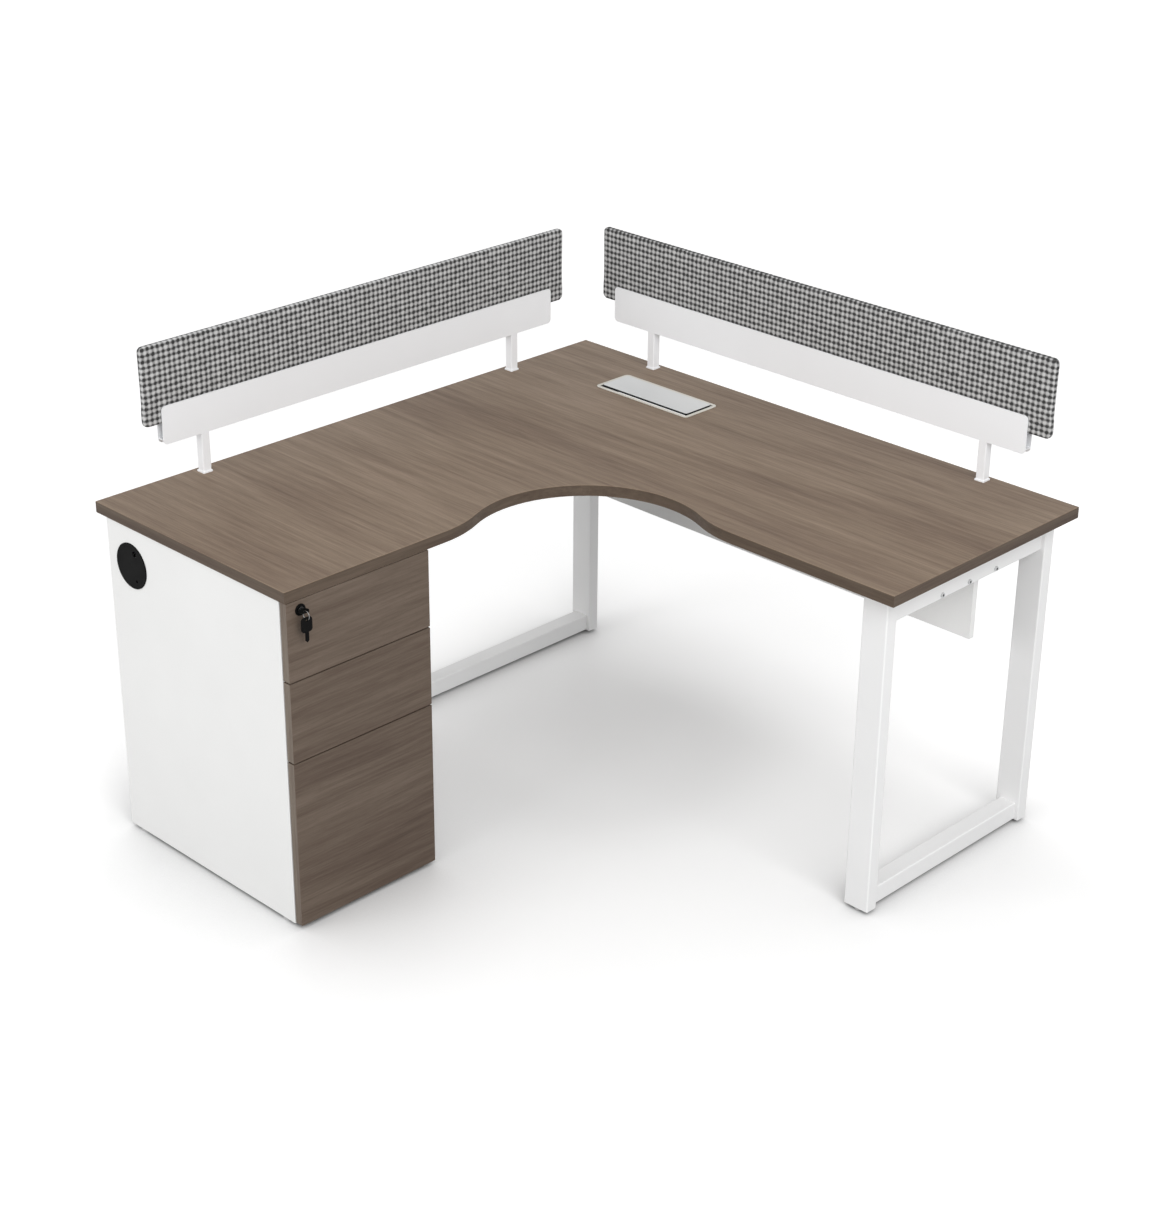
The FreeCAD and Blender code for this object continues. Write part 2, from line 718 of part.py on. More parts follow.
BRACKET_Z = UNDER + " - bracket_leg"
LEG_TOP = "(bracket_leg - bracket_thickness)"
PANEL_TOP = "(bracket_drop - bracket_thickness)"
panel_corners = (("0", "0"), ("bracket_thickness", "0"), ("bracket_thickness", PANEL_TOP),
                 ("bracket_leg", PANEL_TOP), ("bracket_leg", "bracket_drop"), ("0", "bracket_drop"))
end_corners = (("0", LEG_TOP), ("0", "bracket_leg"), ("bracket_leg", "bracket_leg"),
               ("bracket_leg", "0"), (LEG_TOP, "0"), (LEG_TOP, LEG_TOP))
corner_corners = (("0", "0"), ("0", "bracket_thickness"), (LEG_TOP, "bracket_thickness"),
                  (LEG_TOP, "bracket_leg"), ("bracket_leg", "bracket_leg"), ("bracket_leg", "0"))
spots = iter(bracket_screws)
for i, x in enumerate(panel_bracket_x):
    name = "panel_bracket_%d" % i
    middle = x + " + bracket_width / 2"
    base = UNDER + " - bracket_drop"
    height = base + " + (bracket_drop - panel_drop) / 2"
    opening = rod(name + "_side_hole", (middle, PANEL_BACK + " - overrun", height),
                  "screw_radius + screw_gap", "bracket_thickness + 2 * overrun", ROD_Y)
    angle_bracket(name, panel_corners, (x, PANEL_BACK, base), ALONG_X, *next(spots), (opening,))
    panel_holes.append(rod(name + "_panel_hole", (middle, PANEL_BACK + " - screw_bite - overrun", height),
                           "screw_radius + thread_gap", "screw_bite + 2 * overrun", ROD_Y))
    screws.append(fuse(name + "_side_screw", (
        rod(name + "_side_head", (middle, PANEL_BACK + " + bracket_thickness", height),
            "screw_head_radius", "screw_head_height", ROD_Y),
        rod(name + "_side_shank", (middle, PANEL_BACK + " - screw_bite", height),
            "screw_radius", "screw_bite + bracket_thickness", ROD_Y))))
for i, y in enumerate(end_bracket_y):
    at = (END_RAIL_X + " - bracket_leg", y, BRACKET_Z)
    angle_bracket("end_bracket_%d" % i, end_corners, at, ALONG_Y, *next(spots))
for i, y in enumerate(corner_bracket_y):
    at = (CORNER_RAIL_X + " + rail_width", y, BRACKET_Z)
    angle_bracket("corner_bracket_%d" % i, corner_corners, at, ALONG_Y, *next(spots))
keep("modesty_panel", cut("modesty_panel_cut", panel_blank, panel_holes))
keep("angle_brackets", group("angle_bracket_set", brackets))

# Pedestal carcass of white board under the end of the side arm.
SIDE_HEIGHT = UNDER + " - glide_height"
GROMMET_X = "(-%s + grommet_x)" % EDGE
outer_blank = block("pedestal_outer_blank", (CABINET_X, CABINET_Y, "glide_height"),
                    ("cabinet_depth", "board", SIDE_HEIGHT))
grommet_hole = rod("grommet_hole", (GROMMET_X, CABINET_Y + " - overrun", "grommet_height"),
                   "grommet_tube + hole_gap", "board + 2 * overrun", ROD_Y)
keep("pedestal_outer_side", cut("pedestal_outer_cut", outer_blank, (grommet_hole,)))
keep("pedestal_inner_side", block("pedestal_inner_board", (CABINET_X, INSIDE_FAR, "glide_height"),
                                  ("cabinet_depth", "board", SIDE_HEIGHT)))
INSIDE_WIDTH = "(cabinet_width - 2 * board)"
keep("pedestal_back", block("pedestal_back_board", (CABINET_X, INSIDE_Y, "glide_height"),
                            ("board", INSIDE_WIDTH, SIDE_HEIGHT)))
keep("pedestal_floor", block("pedestal_floor_board", (CABINET_X + " + board", INSIDE_Y, "glide_height"),
                             ("cabinet_depth - board", INSIDE_WIDTH, "board")))
stretchers = []
for i, x in enumerate(stretcher_x):
    blank = block("stretcher_blank_%d" % i, (x, INSIDE_Y, UNDER + " - board"),
                  ("stretcher_width", INSIDE_WIDTH, "board"))
    holes = []
    for j, (screw_x, screw_y) in enumerate(stretcher_screws[2 * i:2 * i + 2]):
        name = "stretcher_%d_%d" % (i, j)
        holes.append(rod(name + "_hole", (screw_x, screw_y, UNDER + " - board - overrun"),
                         "screw_radius + screw_gap", "board + 2 * overrun"))
        upward_screw(name, screw_x, screw_y, UNDER + " - board", "board")
    stretchers.append(cut("stretcher_%d" % i, blank, holes))
keep("pedestal_stretchers", group("pedestal_stretcher_pair", stretchers))
keep("bracket_screws", group("bracket_screw_set", screws))
glides = []
for x in (CABINET_X + " + glide_inset", CABINET_FRONT + " - glide_inset"):
    for y in (CABINET_Y + " + glide_radius + glide_edge", CABINET_FAR + " - glide_radius - glide_edge"):
        glides.append(rod("pedestal_glide_%d" % len(glides), (x, y, "0"), "glide_radius", "glide_height"))
keep("pedestal_glides", group("pedestal_glide_set", glides))

# Drawers on three-part ball runners; every drawer carries a catch for the lock bar.
FRONT_X = "(%s + front_gap)" % CABINET_FRONT
BOX_X = "(%s - drawer_depth)" % FRONT_X
BOX_Y = "(%s + runner_space)" % INSIDE_Y
BOX_FAR = "(%s - runner_space)" % INSIDE_FAR
BOX_WIDTH = "(%s - 2 * runner_space)" % INSIDE_WIDTH
RUNNER_X = "(%s - runner_setback - runner_length)" % CABINET_FRONT
LOCK_Y = "(%s + lock_inset)" % CABINET_Y
LOCK_Z = "(%s - lock_drop)" % UNDER
SLOT_X = "(%s - bar_front - bar_width)" % CABINET_FRONT


def runner_section(inset, flange):
    """C section that opens toward the drawer."""
    near = "%s" % inset
    web = "(%s + runner_wall)" % inset
    top = "(runner_height - %s)" % inset
    return ((near, near), (flange, near), (flange, web), (web, web), (web, top + " - runner_wall"),
            (flange, top + " - runner_wall"), (flange, top), (near, top))


def slider_section():
    """C section on the drawer that opens toward the cabinet side."""
    web = "(runner_space - runner_wall)"
    low = "(slider_inset + runner_wall)"
    top = "(runner_height - slider_inset)"
    return (("runner_space", "slider_inset"), ("runner_space", top), ("slider_inset", top),
            ("slider_inset", top + " - runner_wall"), (web, top + " - runner_wall"), (web, low),
            ("slider_inset", low), ("slider_inset", "slider_inset"))


def mirrored(corners):
    return tuple(("runner_space - " + x if x != "0" else "runner_space", y) for x, y in corners)


def runner_pair(name, corners, x, length, z):
    """One member at each side of a drawer."""
    outer = prism(name + "_outer", (corners,), length, (x, INSIDE_Y, z), ALONG_X)
    inner = prism(name + "_inner", (mirrored(corners),), length, (x, BOX_FAR, z), ALONG_X)
    return [outer, inner]


cabinet_members = []


def drawer(word):
    front_base = word + "_front_base"
    box_base = word + "_box_base"
    box_height = word + "_box_height"
    runner_base = word + "_runner_base"
    front_y = CABINET_Y + " + front_outer_reveal"
    front_width = "(cabinet_width - front_outer_reveal - front_inner_reveal)"
    outline = rectangle("0", "0", front_width, word + "_front_height")
    front = prism(word + "_front_board", (outline,), "front_thickness",
                  (FRONT_X, front_y, front_base), ALONG_X, "front_round")
    if word == "upper":
        hole = rod("lock_hole", (FRONT_X + " - overrun", LOCK_Y, LOCK_Z), "barrel_radius + hole_gap",
                   "front_thickness + 2 * overrun", ROD_X)
        front = cut("upper_front_cut", front, (hole,))
    keep(word + "_drawer_front", front)

    floor_z = box_base + " + drawer_floor_lift"
    floor_x = BOX_X + " + drawer_side - groove_depth"
    floor_y = BOX_Y + " + drawer_side - groove_depth"
    floor_size = ("drawer_depth - drawer_side + groove_depth",
                  BOX_WIDTH + " - 2 * drawer_side + 2 * groove_depth", "drawer_floor")
    keep(word + "_drawer_floor", block(word + "_floor_board", (floor_x, floor_y, floor_z), floor_size))
    boards = (
        ("outer", (BOX_X, BOX_Y, box_base), ("drawer_depth", "drawer_side", box_height)),
        ("inner", (BOX_X, BOX_FAR + " - drawer_side", box_base),
         ("drawer_depth", "drawer_side", box_height)),
        ("back", (BOX_X, BOX_Y + " + drawer_side", box_base),
         ("drawer_side", BOX_WIDTH + " - 2 * drawer_side", box_height)),
    )
    sides = []
    for side, at, size in boards:
        blank = block("%s_%s_blank" % (word, side), at, size)
        groove = block("%s_%s_groove" % (word, side), (floor_x, floor_y, floor_z), floor_size)
        sides.append(cut("%s_%s_board" % (word, side), blank, (groove,)))
    keep(word + "_drawer_box", group(word + "_box_boards", sides))

    cabinet_members.extend(runner_pair(word + "_cabinet_member", runner_section("0", "runner_flange"),
                                       RUNNER_X, "runner_length", runner_base))
    carriers = runner_pair(word + "_carrier", runner_section("carrier_inset", "carrier_flange"),
                           RUNNER_X, "runner_length", runner_base)
    keep(word + "_runner_carriers", group(word + "_carrier_pair", carriers))
    sliders = runner_pair(word + "_slider", slider_section(), BOX_X,
                          "drawer_depth - front_gap - runner_setback", runner_base)
    catch_at = (SLOT_X + " - front_gap - catch_size", BOX_Y + " - catch_depth", runner_base + " + catch_lift")
    catch = block(word + "_catch", catch_at, ("catch_size", "catch_depth", "catch_size"))
    keep(word + "_drawer_runners", group(word + "_slider_set", sliders + [catch]))


for word in ("upper", "centre", "lower"):
    drawer(word)
keep("cabinet_runners", group("cabinet_runner_set", cabinet_members))

# Cylinder lock in the upper front; a pin on its cam lifts a bar, by a fork welded to the bar,
# and lugs on the bar stop all three drawers.
SPIN_X = FreeCAD.Rotation(FreeCAD.Vector(0, 0, 1), -90)
FACE_X = "(%s + front_thickness)" % FRONT_X
REAR_X = "(%s - barrel_rear)" % FRONT_X
barrel_front = "(barrel_rear + front_thickness)"
barrel = (("barrel_bore", "0"), ("barrel_radius", "0"), ("barrel_radius", barrel_front),
          ("rosette_radius", barrel_front),
          ("rosette_radius", barrel_front + " + rosette_height - rim_chamfer"),
          ("rosette_radius - rim_chamfer", barrel_front + " + rosette_height"),
          ("barrel_bore", barrel_front + " + rosette_height"))
keep("lock_barrel", turned("lock_barrel_body", barrel, (REAR_X, LOCK_Y, LOCK_Z), SPIN_X))

CAM_X = "(%s - hole_gap - cam_thickness)" % REAR_X
PLUG_END = "(%s + rosette_height + plug_proud)" % FACE_X
CORE_X = "(%s + cam_thickness)" % CAM_X
plug_core = rod("lock_plug_core", (CORE_X, LOCK_Y, LOCK_Z), "lock_plug_radius",
                PLUG_END + " - " + CORE_X, ROD_X)
lock_cam = rod("lock_cam", (CAM_X, LOCK_Y, LOCK_Z), "cam_radius", "cam_thickness", ROD_X)
cam_pin = rod("lock_cam_pin",
              (CAM_X + " - cam_pin_length", LOCK_Y + " - cam_pin_offset", LOCK_Z + " - cam_pin_offset"),
              "cam_pin_radius", "cam_pin_length", ROD_X)
keyway = block("lock_keyway",
               (PLUG_END + " - key_blade_length", LOCK_Y + " - key_blade_width / 2 - keyway_gap",
                LOCK_Z + " - key_blade_thickness / 2 - keyway_gap"),
               ("key_blade_length + overrun", "key_blade_width + 2 * keyway_gap",
                "key_blade_thickness + 2 * keyway_gap"))
keep("lock_plug", group("lock_plug_set", (cut("lock_plug_cut", plug_core, (keyway,)), lock_cam, cam_pin)))

head_corners = rectangle("0", "0", "key_head_length", "key_head_width")
key_head = prism("lock_key_head_plate", (head_corners,), "key_thickness",
                 (PLUG_END, LOCK_Y + " - key_head_width / 2", LOCK_Z + " - key_thickness / 2"),
                 ALONG_Z, "key_head_round")
KEY_HOLE_X = "(%s + key_head_length - key_hole_edge)" % PLUG_END
key_hole = rod("lock_key_hole", (KEY_HOLE_X, LOCK_Y, LOCK_Z + " - key_thickness"),
               "key_hole_radius", "2 * key_thickness")
key_blade = block("lock_key_blade",
                  (PLUG_END + " - key_blade_length + plug_proud", LOCK_Y + " - key_blade_width / 2",
                   LOCK_Z + " - key_blade_thickness / 2"),
                  ("key_blade_length - plug_proud", "key_blade_width", "key_blade_thickness"))
keep("lock_key", group("lock_key_set", (cut("lock_key_head", key_head, (key_hole,)), key_blade)))

RING_X = "(%s + ring_forward)" % KEY_HOLE_X
RING_Z = "(%s - ring_drop)" % LOCK_Z
ring = doc.addObject("Part::Torus", "key_ring_wire")
bind(ring, "Radius1", "ring_radius")
bind(ring, "Radius2", "ring_wire")
keep("key_ring", place(ring, (RING_X, LOCK_Y, RING_Z), ROD_Y))

HANG_Z = "(%s - ring_radius)" % RING_Z
SPARE_BASE = "(%s + spare_head_rise - spare_head_height)" % HANG_Z
spare_corners = rectangle("0", "0", "spare_head_width", "spare_head_height")
spare_plate = prism("spare_key_plate", (spare_corners,), "key_thickness",
                    (RING_X + " - key_thickness / 2", LOCK_Y + " - spare_head_width / 2", SPARE_BASE),
                    ALONG_X, "key_head_round")
spare_hole = rod("spare_key_hole", (RING_X + " - key_thickness", LOCK_Y, HANG_Z + " - spare_hole_drop"),
                 "spare_hole_radius", "2 * key_thickness", ROD_X)
keep("spare_key_head", cut("spare_key_cut", spare_plate, (spare_hole,)))
blade_corners = (("0", "key_blade_width / 2"), ("key_blade_width / 2", "0"),
                 ("key_blade_width", "key_blade_width / 2"), ("key_blade_width", "spare_blade_length"),
                 ("0", "spare_blade_length"))
keep("spare_key_blade", prism("spare_key_blade_plate", (blade_corners,), "key_blade_thickness",
                              (RING_X + " - key_blade_thickness / 2", LOCK_Y + " - key_blade_width / 2",
                               SPARE_BASE + " - spare_blade_length"), ALONG_X))

BAR_Y = "(%s + bar_gap)" % INSIDE_Y
PIN_Z = "(%s - cam_pin_offset)" % LOCK_Z
HEAD_Z = "(%s - bar_head_height / 2)" % PIN_Z
bar_pieces = [block("lock_bar_strip", (SLOT_X, BAR_Y, "bar_base"),
                    ("bar_width", "bar_thickness", HEAD_Z + " + bar_head_height - bar_base"))]
BAR_FACE = "(%s + bar_thickness)" % BAR_Y
for word in ("upper", "centre", "lower"):
    bar_pieces.append(block(word + "_lug", (SLOT_X, BAR_FACE, word + "_runner_base + lug_lift"),
                            ("bar_width", "lug_depth - bar_thickness", "lug_height")))
FORK_X = "(%s + bar_width - bar_head_thickness)" % SLOT_X
TINE_HEIGHT = "(bar_head_height - bar_slot_height) / 2"
for side, z in (("lower", HEAD_Z), ("upper", PIN_Z + " + bar_slot_height / 2")):
    bar_pieces.append(block("lock_bar_%s_tine" % side, (FORK_X, BAR_FACE, z),
                            ("bar_head_thickness", "bar_head_reach - bar_thickness", TINE_HEIGHT)))
keep("lock_bar", group("lock_bar_set", bar_pieces))

guides = []
for z in ("lower_runner_base + 2 * runner_height", "centre_runner_base - runner_height",
          "upper_runner_base - 0.6 * runner_height"):
    i = len(guides)
    saddle = block("bar_guide_block_%d" % i, (SLOT_X + " - guide_wall", INSIDE_Y, z),
                   ("bar_width + 2 * guide_wall", "guide_depth", "guide_height"))
    channel_at = (SLOT_X + " - bar_gap", INSIDE_Y + " - overrun", z + " - overrun")
    channel = block("bar_guide_channel_%d" % i, channel_at,
                    ("bar_width + 2 * bar_gap", "bar_thickness + 2 * bar_gap + overrun",
                     "guide_height + 2 * overrun"))
    guides.append(cut("bar_guide_%d" % i, saddle, (channel,)))
keep("lock_bar_guides", group("lock_bar_guide_set", guides))

# Round cable grommet in the pedestal's outer side, with a cap that turns in its ring.
OUTWARD = FreeCAD.Rotation(FreeCAD.Vector(0, 0, 1), 180)
GROMMET_AT = (GROMMET_X, CABINET_Y + " + grommet_depth", "grommet_height")
liner = (("grommet_bore", "0"), ("grommet_tube", "0"), ("grommet_tube", "grommet_depth"),
         ("grommet_rim", "grommet_depth"), ("grommet_rim", "grommet_depth + grommet_proud - rim_chamfer"),
         ("grommet_rim - rim_chamfer", "grommet_depth + grommet_proud"),
         ("grommet_seat", "grommet_depth + grommet_proud"),
         ("grommet_seat", "grommet_depth + grommet_ledge"),
         ("grommet_bore", "grommet_depth + grommet_ledge"))
keep("grommet_liner", turned("grommet_liner_body", liner, GROMMET_AT, OUTWARD))
CAP_BACK = "(grommet_depth + grommet_ledge + cap_gap)"
CAP_FACE = "(grommet_depth + grommet_proud)"
SKIRT = "(grommet_bore - cap_gap - cap_skirt)"
cap = ((SKIRT, "grommet_depth / 2"), ("grommet_bore - cap_gap", "grommet_depth / 2"),
       ("grommet_bore - cap_gap", CAP_BACK), ("grommet_seat - cap_gap", CAP_BACK),
       ("grommet_seat - cap_gap", CAP_FACE), ("0", CAP_FACE), ("0", CAP_FACE + " - cap_thickness"),
       (SKIRT, CAP_FACE + " - cap_thickness"))
cap_disc = turned("grommet_cap_body", cap, GROMMET_AT, OUTWARD)
notches = []
for i, (across, up, radius) in enumerate(((0.42, 0.91, "cap_notch / 2"), (0.5, -0.87, "cap_notch / 4"))):
    at = (GROMMET_X + " + cap_notch_circle * %s" % across, CABINET_Y + " - 2 * grommet_proud",
          "grommet_height + cap_notch_circle * %s" % up)
    notches.append(rod("cap_notch_%d" % i, at, radius, "grommet_depth + 2 * grommet_proud", ROD_Y))
keep("grommet_cap", cut("grommet_cap_cut", cap_disc, notches))


# Cable port in the worktop: a lined frame with a lid hinged along its back.

def port_frame():
    body = doc.addObject("PartDesign::Body", "cable_port_body")
    inner = rectangle("(port_length - port_opening_length) / 2", "(port_width - port_opening_width) / 2",
                      "port_opening_length", "port_opening_width")
    liner_outer = rectangle("((port_length - port_opening_length) / 2 - port_wall)",
                            "((port_width - port_opening_width) / 2 - port_wall)",
                            "(port_opening_length + 2 * port_wall)", "(port_opening_width + 2 * port_wall)")
    flange_outer = rectangle("0", "0", "port_length", "port_width")
    flange_sketch = new_sketch(body, "cable_port_flange_outline")
    polygon(flange_sketch, flange_outer)
    polygon(flange_sketch, inner)
    flange = body.newObject("PartDesign::Pad", "cable_port_flange")
    flange.Profile = flange_sketch
    bind(flange, "Length", "port_proud")
    liner_sketch = new_sketch(body, "cable_port_liner_outline")
    polygon(liner_sketch, liner_outer)
    polygon(liner_sketch, inner)
    walls = body.newObject("PartDesign::Pad", "cable_port_walls")
    walls.Profile = liner_sketch
    walls.Reversed = True
    bind(walls, "Length", "port_depth")
    doc.recompute()
    feature = walls
    rounds = (("flange", flange_outer, "port_round"), ("liner", liner_outer, "liner_round"),
              ("inner", inner, "opening_round"))
    for label, corners, radius in rounds:
        spots = [(number(x), number(y)) for x, y in corners]
        edges = upright_edges(feature.Shape, spots)
        feature = soften(body, "cable_port_%s_corners" % label, feature, edges, radius)
    return place(body, (PORT_X + " - port_length / 2", PORT_Y + " - port_width / 2", "top_height"))


LID_TOP = "(top_height + port_proud + lid_proud)"
LID_BASE = "(%s - lid_thickness)" % LID_TOP
LID_BACK = "(%s + port_opening_width / 2 - lid_back_gap)" % PORT_Y
PIN_Y = "(%s - lid_pin_inset)" % LID_BACK
OPENING_X = "(%s - port_opening_length / 2)" % PORT_X
OPENING_FAR = "(%s + port_opening_length / 2)" % PORT_X
ledges = []
for i, x in enumerate((OPENING_X + " - overrun", OPENING_FAR + " - ledge_reach")):
    ledges.append(block("port_ledge_%d" % i,
                        (x, LID_BACK + " - lid_width + ledge_setback",
                         LID_BASE + " - ledge_thickness - keyway_gap"),
                        ("ledge_reach + overrun", "ledge_length", "ledge_thickness")))
frame_solid = fuse("cable_port_solid", [port_frame()] + ledges)
pin_bore = rod("port_pin_bore", (OPENING_X + " - lid_pin_reach - lid_pin_gap", PIN_Y, LID_BASE),
               "lid_pin_radius + hole_gap",
               "port_opening_length + 2 * lid_pin_reach + 2 * lid_pin_gap", ROD_X)
keep("cable_port_frame", cut("cable_port_cut", frame_solid, (pin_bore,)))
lid_plate = prism("port_lid_plate", (rectangle("0", "0", "lid_length", "lid_width"),), "lid_thickness",
                  (PORT_X + " - lid_length / 2", LID_BACK + " - lid_width", LID_BASE), ALONG_Z, "lid_round")
lid_pin = rod("port_lid_pin", (OPENING_X + " - lid_pin_reach", PIN_Y, LID_BASE), "lid_pin_radius",
              "port_opening_length + 2 * lid_pin_reach", ROD_X)
keep("cable_port_lid", fuse("cable_port_lid_solid", (lid_plate, lid_pin)))


# Dividers: a padded panel clamped in a channel that stands on two posts.

def upright(name, x, y, base, width, height):
    """Square bar with rounded corners that stands at x, y."""
    return prism(name, (rectangle("0", "0", width, width),), height,
                 ("%s - %s / 2" % (x, width), "%s - %s / 2" % (y, width), base), ALONG_Z,
                 "divider_post_round")


def divider(word, along_x, start, fabric_start, posts):
    """start and fabric_start are the low ends of the channel and the panel along their run."""
    length = word + "_channel_length"
    gap = "fabric_thickness"
    outer = "(%s + 2 * channel_wall)" % gap
    web = "channel_web_lift"
    web_top = "(channel_web_lift + channel_wall)"
    far = "(%s + channel_wall)" % gap
    section = (("0", "0"), ("channel_wall", "0"), ("channel_wall", web), (far, web), (far, "0"), (outer, "0"),
               (outer, "channel_height"), (far, "channel_height"), (far, web_top), ("channel_wall", web_top),
               ("channel_wall", "channel_height"), ("0", "channel_height"))
    swapped = tuple((y, x) for x, y in section)
    near = FABRIC_FRONT if along_x else "-(%s) - fabric_thickness" % FABRIC_FRONT
    if along_x:
        at = (start, near + " - channel_wall", "channel_base")
        channel = prism(word + "_channel_profile", (section,), length, at, ALONG_X)
    else:
        at = (near + " - channel_wall", start, "channel_base")
        channel = prism(word + "_channel_profile", (swapped,), length, at, ALONG_Y)
    corners = plate_corners(channel.Tip.Shape, number("channel_wall"), number("channel_height"))
    soften(channel, word + "_channel_corners", channel.Tip, corners, "channel_round")

    thread = []
    clamps = []
    back_face = near + (" + fabric_thickness" if along_x else "")
    for i in range(5):
        run = "%s + clamp_inset + (%s - 2 * clamp_inset) * %d / 4" % (start, length, i)
        height = "channel_base + clamp_lift"
        name = "%s_clamp_%d" % (word, i)
        if along_x:
            thread.append(rod(name + "_hole", (run, back_face + " - overrun", height),
                              "clamp_radius + thread_gap", "channel_wall + 2 * overrun", ROD_Y))
            clamps.append(fuse(name, (
                rod(name + "_shank", (run, back_face, height), "clamp_radius", "channel_wall", ROD_Y),
                rod(name + "_head", (run, back_face + " + channel_wall", height), "clamp_head_radius",
                    "clamp_head_height", ROD_Y))))
        else:
            outside = back_face + " - channel_wall"
            thread.append(rod(name + "_hole", (outside + " - overrun", run, height),
                              "clamp_radius + thread_gap", "channel_wall + 2 * overrun", ROD_X))
            clamps.append(fuse(name, (
                rod(name + "_shank", (outside, run, height), "clamp_radius", "channel_wall", ROD_X),
                rod(name + "_head", (outside + " - clamp_head_height", run, height), "clamp_head_radius",
                    "clamp_head_height", ROD_X))))
    keep(word + "_divider_channel", cut(word + "_channel_cut", channel, thread))

    fabric_length = word + "_fabric_length"
    if along_x:
        face = rectangle("0", "0", "fabric_height", fabric_length)
        at = (fabric_start, near, "fabric_base")
    else:
        face = rectangle("0", "0", fabric_length, "fabric_height")
        at = (near, fabric_start, "fabric_base")
    turn = ALONG_Y if along_x else ALONG_X
    body = prism(word + "_divider_pad", (face,), "fabric_thickness", at, turn, "fabric_round")
    soften(body, word + "_divider_rims", body.Tip, level_edges(body.Tip.Shape), "fabric_edge")
    keep(word + "_divider_panel", body)

    stands = []
    for i, run in enumerate(posts):
        name = "%s_divider_post_%d" % (word, i)
        centre = "(%s + fabric_thickness / 2)" % near
        x, y = (run, centre) if along_x else (centre, run)
        solids = (
            upright(name + "_bar", x, y, "top_height", "divider_post", "channel_base - top_height"),
            upright(name + "_collar", x, y, "top_height", "divider_collar", "divider_collar_height"),
            upright(name + "_neck", x, y, "channel_base - tube_wall", "fabric_thickness",
                    "channel_web_lift + tube_wall"),
        )
        wall = "divider_post / 2 - tube_wall"
        hollow = block(name + "_hollow", ("%s - (%s)" % (x, wall), "%s - (%s)" % (y, wall),
                                          "top_height + divider_post_floor"),
                       ("divider_post - 2 * tube_wall", "divider_post - 2 * tube_wall",
                        "channel_base - top_height - divider_post_floor - tube_wall"))
        bore = rod(name + "_bore", (x, y, "top_height - overrun"), "stud_radius + thread_gap",
                   "divider_post_floor + 2 * overrun")
        stands.append(cut(name, fuse(name + "_solid", solids), (hollow, bore)))
    keep(word + "_divider_posts", group(word + "_divider_post_pair", stands))
    return clamps


clamp_screws = divider("end", True, "(-%s + end_channel_start)" % EDGE,
                       "(-%s + end_fabric_start)" % EDGE, end_posts)
clamp_screws += divider("side", False, "(%s - side_channel_start - side_channel_length)" % EDGE,
                        "(%s - side_fabric_start - side_fabric_length)" % EDGE, side_posts)
keep("divider_clamp_screws", group("divider_clamp_set", clamp_screws))
stud_rods = []
for i, (x, y) in enumerate(studs):
    stud_rods.append(rod("divider_stud_%d" % i, (x, y, "top_height - stud_bite"), "stud_radius",
                         "stud_bite + divider_post_floor - 2 * overrun"))
keep("divider_studs", group("divider_stud_set", stud_rods))

doc.recompute()
for item in doc.Objects:
    if "Invalid" in item.State or "Error" in item.State:
        raise RuntimeError("%s did not compute" % item.Name)
os.makedirs("parts", exist_ok=True)
for name, item in nodes.items():
    if item.Shape.isNull() or not item.Shape.isValid():
        raise RuntimeError("%s has no valid shape" % name)
    item.Shape.exportStep("parts/%s.step" % name)
    box = item.Shape.BoundBox
    print("%-24s solids %2d  x %8.1f %8.1f  y %8.1f %8.1f  z %8.1f %8.1f" % (
        name, len(item.Shape.Solids), box.XMin, box.XMax, box.YMin, box.YMax, box.ZMin, box.ZMax))
print(len(nodes), "sub-parts")
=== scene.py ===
import bpy
import json
import math
from mathutils import Matrix, Vector

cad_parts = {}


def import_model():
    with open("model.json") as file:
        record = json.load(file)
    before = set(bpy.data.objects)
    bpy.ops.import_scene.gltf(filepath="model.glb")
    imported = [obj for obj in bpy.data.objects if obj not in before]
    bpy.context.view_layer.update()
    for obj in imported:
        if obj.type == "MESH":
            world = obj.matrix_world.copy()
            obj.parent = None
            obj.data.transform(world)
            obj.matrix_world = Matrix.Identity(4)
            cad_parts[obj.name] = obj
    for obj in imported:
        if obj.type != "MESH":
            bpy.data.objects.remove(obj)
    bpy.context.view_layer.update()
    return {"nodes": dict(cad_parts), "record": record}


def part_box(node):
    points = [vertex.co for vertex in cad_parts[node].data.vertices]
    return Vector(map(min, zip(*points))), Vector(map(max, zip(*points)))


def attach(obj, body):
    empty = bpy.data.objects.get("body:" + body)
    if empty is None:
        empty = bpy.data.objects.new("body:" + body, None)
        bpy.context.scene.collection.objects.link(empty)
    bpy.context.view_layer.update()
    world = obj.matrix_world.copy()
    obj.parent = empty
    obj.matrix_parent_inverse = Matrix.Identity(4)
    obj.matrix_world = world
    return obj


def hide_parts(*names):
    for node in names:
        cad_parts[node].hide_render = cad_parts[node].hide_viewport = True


# Looks of the l-shaped desk: wood-grain laminate, white boards and tubes, woven screens.
# Lengths are in metres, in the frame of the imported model.

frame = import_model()
nodes = frame["nodes"]
scene = bpy.context.scene

# A face looks along an axis when that part of its normal is above FACE_ON, and away from it below EDGE_ON.
FACE_ON = 0.7
EDGE_ON = 0.35
# The part of a noise's range in which nearly all of its values lie
NOISE_RANGE = (0.3, 0.7)


# Small helpers for shader trees

def linear(code):
    """Scene colour of a screen colour written as six hex digits."""
    shades = [int(code[i:i + 2], 16) / 255 for i in (0, 2, 4)]
    return tuple(s / 12.92 if s <= 0.04045 else ((s + 0.055) / 1.055) ** 2.4 for s in shades) + (1.0,)


def grey(level):
    """Scene colour of an even grey."""
    return (level, level, level, 1.0)


def new_material(name):
    material = bpy.data.materials.new(name)
    material.use_nodes = True
    tree = material.node_tree
    return material, tree, tree.nodes["Principled BSDF"]


